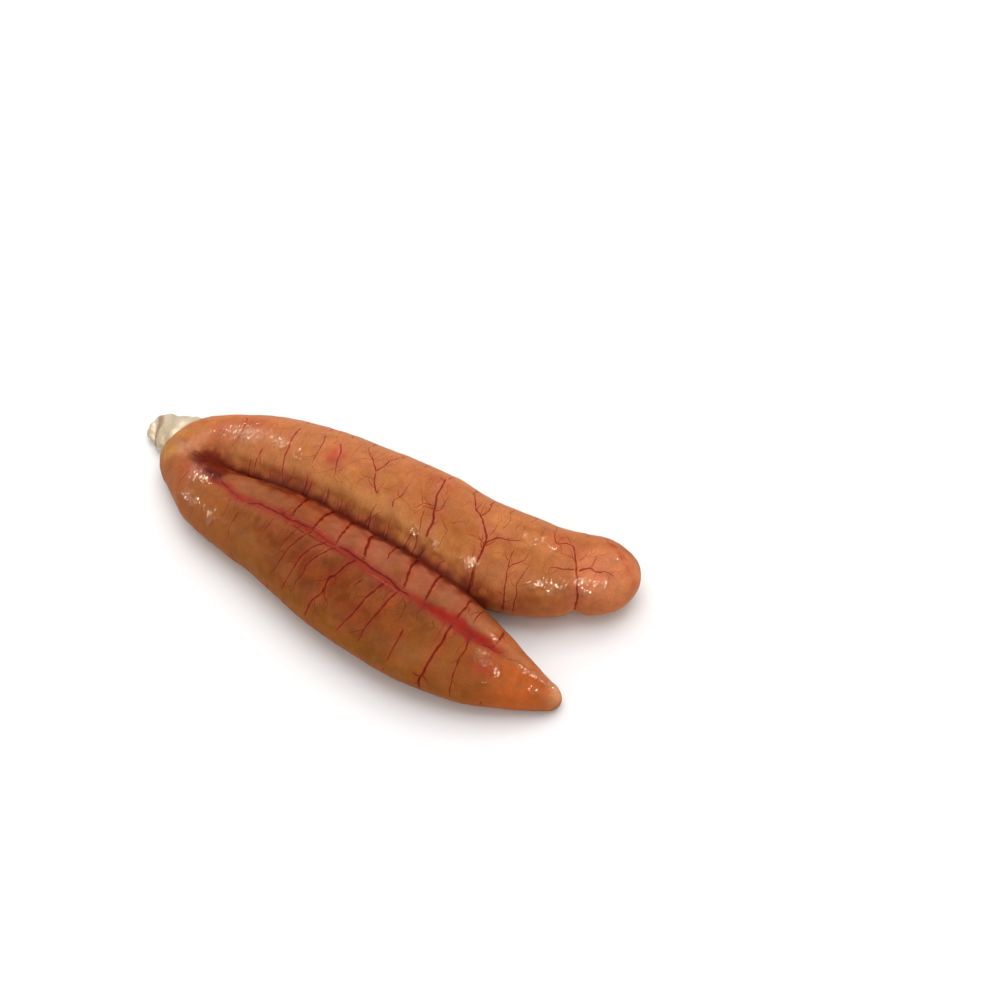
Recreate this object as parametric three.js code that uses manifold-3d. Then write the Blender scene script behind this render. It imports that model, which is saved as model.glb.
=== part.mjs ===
// A pair of fresh fish roe lobes lying on a flat surface, in millimetres, +Z up.
// The two lobes are one piece, grown together at the head (-X) and free at the tails (+X).
// A pale stump of the egg duct sits on the head. The origin is under the middle of the pair.
import * as THREE from "three";
import { mergeVertices } from "three/addons/utils/BufferGeometryUtils.js";
import Module from "manifold-3d";

const wasm = await Module();
wasm.setup();

// A station is a point of a lobe's middle line seen from above, with the lobe's size there.
const station = (x, y, halfWidth, thickness) => ({ x, y, halfWidth, thickness });

// A pinch is a groove where a vessel ties a lobe in. It is deepest on the side facing the other
// lobe, and it lies at a distance from the tail.
const BACK_LOBE = {
  stations: [
    station(-79, 12, 8, 14),
    station(-64, 17.2, 10.8, 20),
    station(-44, 21, 13.4, 25.5),
    station(-22, 22.5, 14.7, 29),
    station(-2, 22.2, 15.7, 30),
    station(18, 21.4, 16.6, 30),
    station(36, 19, 17.3, 29.5),
    station(54, 21.2, 16.9, 27),
    station(70.7, 28, 13.4, 24),
    station(87, 37.6, 11.4, 20.5),
  ],
  headCap: 12,
  tailCap: 13,
  pinches: [{ fromTail: 22, halfLength: 2.6, depth: 0.11 }],
};
const FRONT_LOBE = {
  stations: [
    station(-80, 10.4, 7.9, 13),
    station(-66, 2.8, 9.5, 18.5),
    station(-53, -3.2, 11.8, 21.5),
    station(-40, -5, 13.6, 23.5),
    station(-24, -6.3, 16, 25.5),
    station(-2, -10.4, 18.7, 26),
    station(19, -13.4, 19.6, 26),
    station(37, -15.6, 18.7, 25),
    station(51, -16.7, 15.9, 22.5),
    station(62, -16.7, 12.2, 19),
    station(74, -15.8, 7.2, 14),
    station(83.9, -13.7, 2.7, 6.8),
  ],
  headCap: 12,
  tailCap: 3,
  pinches: [],
};
const STUMP = {
  stations: [
    station(-69, 20, 6.5, 11),
    station(-77, 17, 9, 11),
    station(-83, 16.8, 8.2, 9.5),
    station(-88, 17.4, 6.4, 7),
    station(-94, 17.2, 4.5, 4.5),
  ],
  headCap: 4,
  tailCap: 1.8,
  pinches: [],
};

// The surface flattens the underside by this share of the half thickness.
const REST_SINK = 0.2;
// The stump's solid stands this far off the lobes that it grows from.
const TISSUE_GAP = 0.3;
// The facets: their length along a body, their rings in a rounded end and their count around.
const LOBE_FACETS = { along: 3, capRings: 6, around: 36 };
const STUMP_FACETS = { along: 1.6, capRings: 5, around: 24 };

// A smooth curve through the stations, with one getter for places and one for sizes.
function spineOf(body) {
  const places = body.stations.map(({ x, y }) => new THREE.Vector3(x, y, 0));
  const sizes = body.stations.map(
    ({ halfWidth, thickness }) => new THREE.Vector3(halfWidth, thickness, 0)
  );
  const plan = new THREE.CatmullRomCurve3(places, false, "catmullrom");
  const girth = new THREE.CatmullRomCurve3(sizes, false, "catmullrom");
  plan.arcLengthDivisions = 400;
  return { plan, girth, length: plan.getLength() };
}

// How far a pinch pulls the section in, as a factor on its size. Sideways runs from -1 to 1,
// and 1 is the side facing the other lobe.
function pinchFactor(body, fromTail, sideways) {
  return body.pinches.reduce((factor, p) => {
    const nearness = Math.exp(-(((fromTail - p.fromTail) / p.halfLength) ** 2));
    return factor * (1 - p.depth * nearness * (0.5 + 0.5 * sideways));
  }, 1);
}

// The distances along the spine that get a ring: close together in the rounded ends and at a pinch.
function ringPlaces(body, length, facets) {
  const { headCap, tailCap } = body;
  const quarter = Math.PI / 2 / facets.capRings;
  const cap = (size) => Array.from({ length: facets.capRings }, (_, i) => size * (1 - Math.cos(i * quarter)));
  const middle = length - headCap - tailCap;
  const steps = Math.max(2, Math.round(middle / facets.along));
  const even = Array.from({ length: steps + 1 }, (_, i) => headCap + (middle * i) / steps);
  const pinched = body.pinches.flatMap((p) =>
    [-1.5, -0.5, 0, 0.5, 1.5].map((share) => length - p.fromTail + share * p.halfLength)
  );
  const clear = even.filter((s) => pinched.every((p) => Math.abs(p - s) > facets.along * 0.3));
  const tail = cap(tailCap).map((s) => length - s);
  return [...cap(headCap), ...clear, ...pinched, ...tail].sort((a, b) => a - b);
}

// How full the section is at a distance along the spine: 0 at the ends, 1 past the rounded caps.
function capFactor(body, along, length) {
  const towards = (distance, size) => Math.sqrt(Math.max(0, 1 - (1 - Math.min(1, distance / size)) ** 2));
  return towards(along, body.headCap) * towards(length - along, body.tailCap);
}

// A closed body swept along its spine. A lathe gives the rings, which are then laid on the spine.
function sweptGeometry(body, facets, grow = 0) {
  const { plan, girth, length } = spineOf(body);
  const profile = ringPlaces(body, length, facets).map(
    (along) => new THREE.Vector2(capFactor(body, along, length), along)
  );
  const geometry = new THREE.LatheGeometry(profile, facets.around);
  const position = geometry.getAttribute("position");
  for (let i = 0; i < position.count; i++) {
    const along = position.getY(i);
    const t = plan.getUtoTmapping(THREE.MathUtils.clamp(along / length, 0, 1));
    const middle = plan.getPoint(t);
    const side = plan.getTangent(t).cross(new THREE.Vector3(0, 0, 1));
    const size = girth.getPoint(t);
    const fullness = Math.hypot(position.getX(i), position.getZ(i));
    const pinch = pinchFactor(body, length - along, position.getX(i) / Math.max(fullness, 1e-6));
    const halfThickness = size.y / (2 - REST_SINK);
    const across = position.getX(i) * (size.x * pinch + grow);
    const height = halfThickness * (1 - REST_SINK) + position.getZ(i) * (halfThickness * pinch + grow);
    position.setXYZ(i, middle.x + side.x * across, middle.y + side.y * across, height);
  }
  return geometry;
}

function solidOf(geometry) {
  const bare = geometry.index ? geometry.toNonIndexed() : geometry.clone();
  bare.deleteAttribute("normal");
  bare.deleteAttribute("uv");
  const merged = mergeVertices(bare, 1e-3);
  return new wasm.Manifold(
    new wasm.Mesh({
      numProp: 3,
      vertProperties: merged.attributes.position.array,
      triVerts: new Uint32Array(merged.index.array),
    })
  );
}

function geometryOf(solid) {
  const mesh = solid.getMesh();
  const geometry = new THREE.BufferGeometry();
  geometry.setAttribute("position", new THREE.BufferAttribute(mesh.vertProperties, 3));
  geometry.setIndex(new THREE.BufferAttribute(mesh.triVerts, 1));
  geometry.computeVertexNormals();
  return geometry;
}

// Everything under the surface that the roe lies on.
function ground() {
  const [width, depth] = [400, 60];
  return solidOf(new THREE.BoxGeometry(width, width, depth).translate(0, 0, -depth / 2));
}

function lobePair(grow = 0) {
  const back = solidOf(sweptGeometry(BACK_LOBE, LOBE_FACETS, grow));
  const front = solidOf(sweptGeometry(FRONT_LOBE, LOBE_FACETS, grow));
  return back.add(front);
}

function stump() {
  return solidOf(sweptGeometry(STUMP, STUMP_FACETS)).subtract(lobePair(TISSUE_GAP)).subtract(ground());
}

function namedMesh(name, solid, look) {
  const mesh = new THREE.Mesh(geometryOf(solid), new THREE.MeshStandardMaterial(look));
  mesh.name = name;
  return mesh;
}

const pair = new THREE.Group();
pair.add(
  namedMesh("lobes", lobePair().subtract(ground()), { color: 0xbd7a45, roughness: 0.3, metalness: 0 }),
  namedMesh("stump", stump(), { color: 0xd8cfb4, roughness: 0.4, metalness: 0 })
);
const middle = new THREE.Box3().setFromObject(pair).getCenter(new THREE.Vector3());
pair.position.set(-middle.x, -middle.y, 0);

const roe = new THREE.Group();
roe.add(pair);

export default roe;
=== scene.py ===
"""Looks of a fresh fish roe pair: two veined egg lobes grown together at the head, on a pale surface.

The lobes' form is worked out from the same stations as the solids, in millimetres, with +X from the
head to the tails, +Y towards the back lobe and +Z up. Places on a lobe are given as the distance along
it from the head, in millimetres, and the angle around it, in degrees: 0 faces the front (-Y), 90 is
the top and 180 faces the back (+Y). Inside the methods the angles, there called turns, are in radians.
"""
from __future__ import annotations

import logging
import math
from collections.abc import Iterable, Iterator
from dataclasses import astuple, dataclass, field
from enum import Enum
from functools import cached_property, reduce

import bpy
import numpy as np
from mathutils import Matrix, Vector
from mathutils.bvhtree import BVHTree
from mathutils.kdtree import KDTree

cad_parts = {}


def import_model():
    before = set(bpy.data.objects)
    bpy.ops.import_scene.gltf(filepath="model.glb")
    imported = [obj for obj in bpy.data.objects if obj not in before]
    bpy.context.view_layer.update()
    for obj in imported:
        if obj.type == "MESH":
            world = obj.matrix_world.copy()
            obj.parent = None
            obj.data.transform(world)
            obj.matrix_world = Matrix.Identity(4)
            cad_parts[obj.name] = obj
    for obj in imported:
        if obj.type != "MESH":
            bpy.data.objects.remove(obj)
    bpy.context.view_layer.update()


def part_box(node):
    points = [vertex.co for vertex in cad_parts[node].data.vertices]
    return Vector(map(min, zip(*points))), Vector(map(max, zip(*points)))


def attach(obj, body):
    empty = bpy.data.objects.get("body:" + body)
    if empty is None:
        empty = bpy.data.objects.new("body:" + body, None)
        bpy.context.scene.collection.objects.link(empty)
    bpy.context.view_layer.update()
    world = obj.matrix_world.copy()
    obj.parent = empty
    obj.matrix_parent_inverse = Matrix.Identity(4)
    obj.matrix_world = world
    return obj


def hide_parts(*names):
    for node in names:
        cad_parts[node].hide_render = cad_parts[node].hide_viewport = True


Socket = bpy.types.NodeSocket

LOG = logging.getLogger("roe")
MM = 0.001

# The mesh attributes that the materials read: the colour and the wetness at each point.
TONE = "tone"
WET = "wet"

# How strongly blood under the membrane takes up red, green and blue light.
BLOOD = np.array([0.63, 1.5, 2.4])

# The number of steps in which a curve or a turn around is worked out, before places are looked up on it.
FINE_STEPS = 2001


class Piece(Enum):
    """The pieces of the scene, with the names that they go out under."""

    LOBES = "lobe_membrane"
    VESSELS = "blood_vessels"
    STUMP = "egg_duct_stump"
    FLOOR = "floor"


class Slot(Enum):
    """The material slots of the frame's record."""

    MEMBRANE = "membrane"
    DUCT = "duct_tissue"


def srgb(red: float, green: float, blue: float) -> np.ndarray:
    """Turns a colour as seen on a screen, 0 to 255, into a linear one, 0 to 1."""
    seen = np.array([red, green, blue]) / 255.0
    return np.where(seen <= 0.04045, seen / 12.92, ((seen + 0.055) / 1.055) ** 2.4)


class Tone(Enum):
    """The tissue's colours, as they look in plain light, and some that paint shade or sheen onto it."""

    TAN = (192, 112, 60)
    GOLD = (214, 142, 80)
    RUST = (172, 90, 36)
    ROSE = (200, 124, 82)
    BULB = (244, 150, 96)
    MAROON = (146, 50, 15)
    BROWN = (144, 78, 30)
    UMBER = (116, 44, 8)
    MOSS = (140, 84, 22)
    SAND = (160, 96, 44)
    BEIGE = (176, 106, 80)
    # Pale folds beside the band, partly a painted highlight.
    MAUVE_SHEEN = (160, 70, 54)
    WINE = (146, 42, 34)
    PINK = (200, 104, 82)
    HEAD = (178, 104, 60)
    # Pale pink, partly a painted sheen.
    PALE_ROSE_SHEEN = (216, 150, 120)
    # A painted sheen of wet skin.
    LILAC_SHEEN = (198, 136, 122)
    ORANGE = (208, 100, 40)
    # The pale tip, partly a painted highlight.
    PALE = (236, 162, 116)
    FLUSH = (184, 62, 42)
    BAND = (154, 20, 12)
    CLOT = (80, 12, 4)
    # Blood with painted shade: the crease and its start at the head, and the knots where vessels meet it.
    CREASE_BLOOD_AND_SHADE = (100, 24, 10)
    OCHRE = (198, 138, 68)
    CREAM = (184, 166, 134)
    ROSY_CREAM = (202, 178, 156)
    GREEN_CREAM = (182, 172, 130)
    FOLD = (136, 100, 60)
    # Painted shade along a low edge by the floor.
    LOW_EDGE_SHADE = (116, 92, 66)

    @property
    def linear(self) -> np.ndarray:
        """The colour in linear values."""
        return srgb(*self.value)


def ease(low: float, high: float, value: np.ndarray) -> np.ndarray:
    """Goes smoothly from 0 where the value is low to 1 where it is high."""
    share = np.clip((value - low) / (high - low), 0.0, 1.0)
    return share * share * (3.0 - 2.0 * share)


def bell(off: np.ndarray, reach: float | np.ndarray, power: float = 2) -> np.ndarray:
    """Falls from 1 at no distance to near 0 past the reach, with a flatter top for a higher power."""
    return np.exp(-((off / reach) ** power))


def added_up(steps: np.ndarray) -> np.ndarray:
    """Gives the way gone after each step, from 0."""
    return np.concatenate([[0.0], np.cumsum(steps)])


def unit(vectors: np.ndarray) -> np.ndarray:
    """Makes vectors one long."""
    return vectors / (np.linalg.norm(vectors, axis=-1)[..., None] + 1e-12)


def catmull_rom(points: np.ndarray, share: np.ndarray) -> np.ndarray:
    """Follows a smooth curve through points, as the solids' curves do.

    Args:
        points: The points, one a row.
        share: The shares of the way through the points, 0 to 1.

    Returns:
        One row for each share.
    """
    last = len(points) - 1
    place = np.clip(share, 0.0, 1.0) * last
    index = np.minimum(place.astype(int), last - 1)
    w = (place - index)[:, None]
    ends = np.vstack([2 * points[0] - points[1], points, 2 * points[-1] - points[-2]])
    before, start, end, after = (ends[index + k] for k in range(4))
    leave, arrive = (end - before) / 2, (after - start) / 2
    return (
        (2 * w**3 - 3 * w**2 + 1) * start
        + (w**3 - 2 * w**2 + w) * leave
        + (3 * w**2 - 2 * w**3) * end
        + (w**3 - w**2) * arrive
    )


@dataclass(frozen=True)
class Ripples:
    """A soft unevenness of one scale: a sum of plane waves in seeded directions.

    The number sets it apart from the other ripples of the same body or vessel.
    """

    height: float
    wavelength: float
    number: int = 0
    waves: int = 14

    def at(self, points: np.ndarray, seed: int) -> np.ndarray:
        """Gives the unevenness at points.

        Args:
            points: The points, with their coordinates in the last axis.
            seed: The body's seed.

        Returns:
            Values mostly between minus and plus the height.
        """
        draw = np.random.default_rng(seed + self.number)
        total = np.zeros(points.shape[:-1])
        for _ in range(self.waves):
            heading = draw.normal(size=points.shape[-1])
            heading /= np.linalg.norm(heading)
            pitch = 2 * math.pi / (self.wavelength * draw.uniform(0.7, 1.5))
            total += np.sin(points @ heading * pitch + draw.uniform(0, 2 * math.pi))
        return self.height * (total * math.sqrt(2.0 / self.waves) * 0.7)

    def shift(self, points: np.ndarray, seed: int) -> np.ndarray:
        """Gives an uneven shift along x, y and z at points."""
        return np.stack([self.at(points, seed + n) for n in range(3)], axis=-1)


def layered(layers: Iterable[Ripples], points: np.ndarray, seed: int, start: float = 0.0) -> np.ndarray:
    """Adds ripples up at points, on top of a starting value."""
    return sum((layer.at(points, seed) for layer in layers), start)


class Paint:
    """The colours of a skin's points, laid on in thin coats."""

    def __init__(self, ground: Tone, shape: tuple[int, ...]) -> None:
        """Starts with one tone all over an array of points."""
        self.colour = np.broadcast_to(ground.linear, shape).copy()

    def lay(self, tone: Tone, cover: np.ndarray) -> None:
        """Lays a tone over the colours where its cover is high."""
        share = np.clip(cover, 0, 1)[..., None]
        self.colour = self.colour * (1 - share) + tone.linear * share

    def lay_all(self, areas: Iterable[Wash | Spot], *places: np.ndarray) -> None:
        """Lays the tones of areas one over the other, each where its area covers the places."""
        for area in areas:
            self.lay(area.tone, area.cover(*places))

    def shade(self, factor: np.ndarray) -> None:
        """Makes the colours lighter or darker by a factor."""
        self.colour = self.colour * factor[..., None]


@dataclass(frozen=True)
class Patch:
    """A soft round area on a lobe, such as one with fine wet wrinkles."""

    along: float
    around: float
    reach_along: float
    reach_around: float
    strength: float = 1.0

    def cover(self, along: np.ndarray, turn: np.ndarray) -> np.ndarray:
        """Says how far each place belongs to the patch.

        Args:
            along: The distances from the head.
            turn: The angles around.

        Returns:
            The cover at each place, 0 to the patch's strength.
        """
        apart_along = (along - self.along) / self.reach_along
        apart_around = ((np.degrees(turn) - self.around + 180) % 360 - 180) / self.reach_around
        return self.strength * np.exp(-(apart_along**2) - apart_around**2)


@dataclass(frozen=True)
class Wash(Patch):
    """A soft area of another tone."""

    tone: Tone = Tone.TAN


@dataclass(frozen=True)
class Spot:
    """A soft ball of another tone in space, which both lobes take where they meet at the head."""

    place: tuple[float, float, float]
    reach: float
    strength: float
    tone: Tone

    def cover(self, points: np.ndarray) -> np.ndarray:
        """Says how far each point belongs to the spot, 0 to its strength."""
        return self.strength * bell(np.linalg.norm(points - np.array(self.place), axis=-1), self.reach)


@dataclass(frozen=True)
class Station:
    """A point of a body's middle line seen from above, with the body's size there."""

    x: float
    y: float
    half_width: float
    thickness: float


@dataclass
class SweptBody:
    """A rounded body swept along stations, which rests on the floor with a flattened underside."""

    stations: tuple[Station, ...]
    head_cap: float
    tail_cap: float
    seed: int
    row_step: float = 0.62
    columns: int = 172
    cap_rings: int = 26
    first_ring: float = 0.03
    rest_sink: float = 0.2
    rest_softness: float = 0.9
    top_density: float = 1.9
    top_edge: tuple[float, float] = (-0.6, -0.1)
    lowest: float = 0.02
    probe_along: float = 0.1
    probe_around: float = 0.01

    @cached_property
    def spine(self) -> dict[str, np.ndarray]:
        """The middle line in fine steps: distance, place with size, and heading."""
        curve = catmull_rom(np.array([astuple(s) for s in self.stations]), np.linspace(0.0, 1.0, FINE_STEPS))
        steps = np.linalg.norm(np.diff(curve[:, :2], axis=0), axis=1)
        heading = np.gradient(curve[:, :2], axis=0)
        heading /= np.linalg.norm(heading, axis=1)[:, None]
        return {"along": added_up(steps), "curve": curve, "heading": heading}

    @property
    def length(self) -> float:
        """The length of the middle line."""
        return float(self.spine["along"][-1])

    def follow(self, along: np.ndarray, name: str) -> np.ndarray:
        """Looks one of the middle line's sets of values up at distances along it."""
        columns = self.spine[name].T
        return np.stack([np.interp(along, self.spine["along"], column) for column in columns], axis=-1)

    def fullness(self, along: np.ndarray) -> np.ndarray:
        """Says how full the section is.

        Args:
            along: The distances from the head.

        Returns:
            The fullness at each: 0 at the ends, 1 past the rounded caps.
        """
        head = 1 - np.minimum(1, along / self.head_cap)
        tail = 1 - np.minimum(1, (self.length - along) / self.tail_cap)
        return np.sqrt(np.maximum(0, 1 - head**2)) * np.sqrt(np.maximum(0, 1 - tail**2))

    def squeeze(self, along: np.ndarray, turn: np.ndarray) -> np.ndarray:
        """Gives the factor by which a place on the section is pulled in. A plain body isn't."""
        return np.ones(np.broadcast(along, turn).shape)

    def surface(self, along: np.ndarray, turn: np.ndarray) -> np.ndarray:
        """Gives points of the bare surface.

        Args:
            along: The distances from the head.
            turn: The angles around.

        Returns:
            The points, with x, y and z in the last axis.
        """
        size = self.follow(along, "curve")
        heading = self.follow(along, "heading")
        half_thickness = size[..., 3] / (2 - self.rest_sink)
        pull = self.squeeze(along, turn)
        across = np.cos(turn) * self.fullness(along) * size[..., 2] * pull
        rise = half_thickness * (1 - self.rest_sink)
        rise = rise + np.sin(turn) * self.fullness(along) * half_thickness * pull
        rise = 0.5 * (rise + np.sqrt(rise**2 + self.rest_softness**2))
        x = size[..., 0] + heading[..., 1] * across
        y = size[..., 1] - heading[..., 0] * across
        return np.stack([x, y, rise], axis=-1)

    def scales(self, along: np.ndarray, turn: np.ndarray) -> tuple[np.ndarray, np.ndarray]:
        """Measures the surface at places.

        Args:
            along: The distances from the head.
            turn: The angles around.

        Returns:
            The millimetres on the surface for 1 mm along, and for 1 radian around.
        """
        far, near = (self.surface(along + step, turn) for step in (self.probe_along, -self.probe_along))
        over, under = (self.surface(along, turn + step) for step in (self.probe_around, -self.probe_around))
        lengthways = np.linalg.norm(far - near, axis=-1) / (2 * self.probe_along)
        around = np.linalg.norm(over - under, axis=-1) / (2 * self.probe_around)
        return np.clip(lengthways, 0.5, 3.0), np.maximum(around, 1.0)

    def course(self, along: np.ndarray, turn: np.ndarray) -> tuple[np.ndarray, np.ndarray, np.ndarray]:
        """Gives a path's direction, in radians from the body's length, and the two scales along it."""
        lengthways, around = self.scales(along, turn)
        return np.arctan2(np.gradient(turn) * around, np.gradient(along) * lengthways), lengthways, around

    @cached_property
    def grid(self) -> tuple[np.ndarray, np.ndarray]:
        """The distances and angles of the surface's points: rings from head to tail, denser on top."""
        curl = 1 - np.cos(np.linspace(self.first_ring, math.pi / 2, self.cap_rings, endpoint=False))
        middle = self.length - self.head_cap - self.tail_cap
        even = np.linspace(0, middle, max(4, int(middle / self.row_step)))
        tail = self.length - curl[::-1] * self.tail_cap
        along = np.concatenate([curl * self.head_cap, self.head_cap + even, tail])
        fine = np.linspace(-math.pi, math.pi, FINE_STEPS)
        weight = 1 + self.top_density * ease(*self.top_edge, np.sin(fine))
        total = added_up((weight[1:] + weight[:-1]) / 2)
        turn = np.interp(np.linspace(0, total[-1], self.columns, endpoint=False), total, fine)
        rows, columns = np.meshgrid(along, turn, indexing="ij")
        return rows, columns

    def relief(self, points: np.ndarray) -> np.ndarray:
        """Gives how far each of the grid's points stands out from the bare surface."""
        return np.zeros(points.shape[:-1])

    @cached_property
    def skin(self) -> tuple[np.ndarray, np.ndarray]:
        """The grid's points with their relief, and the outward directions there."""
        bare = self.surface(*self.grid)
        points = bare + grid_normals(bare) * self.relief(bare)[..., None]
        points[..., 2] = np.maximum(points[..., 2], self.lowest)
        return points, grid_normals(points)

    def read(self, values: np.ndarray, along: np.ndarray, turn: np.ndarray) -> np.ndarray:
        """Looks values of the grid's points up at places between them.

        Args:
            values: The values on the grid, with their columns in the last axis.
            along: The distances from the head.
            turn: The angles around.

        Returns:
            The values at the places.
        """
        rows, columns = self.grid[0][:, 0], self.grid[1][0]
        row = np.clip(np.interp(along, rows, np.arange(len(rows))), 0, len(rows) - 1.001)
        wrapped = (turn + math.pi) % (2 * math.pi) - math.pi
        column = np.interp(wrapped, np.append(columns, math.pi), np.arange(len(columns) + 1))
        i, j = row.astype(int), column.astype(int) % len(columns)
        u, v = (row - i)[..., None], (column - column.astype(int))[..., None]
        k = (j + 1) % len(columns)
        near = values[i, j] * (1 - v) + values[i, k] * v
        far = values[i + 1, j] * (1 - v) + values[i + 1, k] * v
        return near * (1 - u) + far * u

    def shell(self) -> tuple[np.ndarray, list[tuple[int, ...]]]:
        """Closes the grid with a point at each end.

        Returns:
            The points and the faces of the closed mesh.
        """
        points = self.skin[0]
        ends = np.array([points[0].mean(axis=0), points[-1].mean(axis=0)])
        return np.vstack([points.reshape(-1, 3), ends]), tube_faces(*points.shape[:2])

    def shell_colours(self, colours: np.ndarray) -> np.ndarray:
        """Lists the grid's colours as the shell has its points, with the two end points last."""
        flat = colours.reshape(-1, 3)
        return np.vstack([flat, flat[0], flat[-1]])


def grid_normals(points: np.ndarray) -> np.ndarray:
    """Gives the outward directions of a grid of points that closes around its second axis."""
    around = np.roll(points, -1, axis=1) - np.roll(points, 1, axis=1)
    return unit(np.cross(np.gradient(points, axis=0), around))


@dataclass(frozen=True)
class Vessel:
    """A blood vessel: the places that it runs through, and how it looks on the way.

    Its width is the seen width where it starts, tip is the share of that where it ends, and blood is how
    dark it is. A furrow of some depth goes with it in the skin. Without a tone it takes its colour from
    the skin and the blood.
    """

    route: tuple[tuple[float, float], ...]
    width: float = 0.8
    blood: float = 0.7
    twigs: int = 2
    tip: float = 0.4
    furrow: float = 0.08
    # A tone is given to the pale strands beside the band, whose paleness is partly a painted highlight.
    tone: Tone | None = None


@dataclass(frozen=True)
class VesselRow:
    """A row of like vessels side by side, such as those that run down a lobe's far side."""

    places: tuple[float, ...]
    start: float
    end: float
    width: float = 0.75
    blood: float = 0.65
    twigs: int = 3
    lean: float = 3.5
    bend: float = 0.9
    tip: float = 0.35
    reaches: tuple[float, float] = (0.6, 1.1)
    widths: tuple[float, float] = (0.6, 1.25)
    bloods: tuple[float, float] = (0.65, 1.2)

    def vessels(self, draw: np.random.Generator) -> list[Vessel]:
        """Lays the row out, no vessel quite like the next.

        Args:
            draw: The seeded source of its irregularities.

        Returns:
            The vessels.
        """
        row = []
        for place in self.places:
            lean = self.lean * draw.uniform(-1, 1)
            reach = (self.end - self.start) * draw.uniform(*self.reaches)
            route = tuple(
                (place + lean * share + draw.uniform(-self.bend, self.bend), self.start + reach * share)
                for share in (0.0, 0.3, 0.6, 1.0)
            )
            width = self.width * draw.uniform(*self.widths)
            row.append(Vessel(route, width, self.blood * draw.uniform(*self.bloods), self.twigs, self.tip))
        return row


@dataclass(frozen=True)
class Branch:
    """A vessel or twig as it lies on a lobe, in fine steps: places, half widths and how dark it is."""

    along: np.ndarray
    turn: np.ndarray
    half_width: np.ndarray
    blood: np.ndarray
    furrow: float = 0.0
    trunk: bool = False
    tone: Tone | None = None


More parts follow.
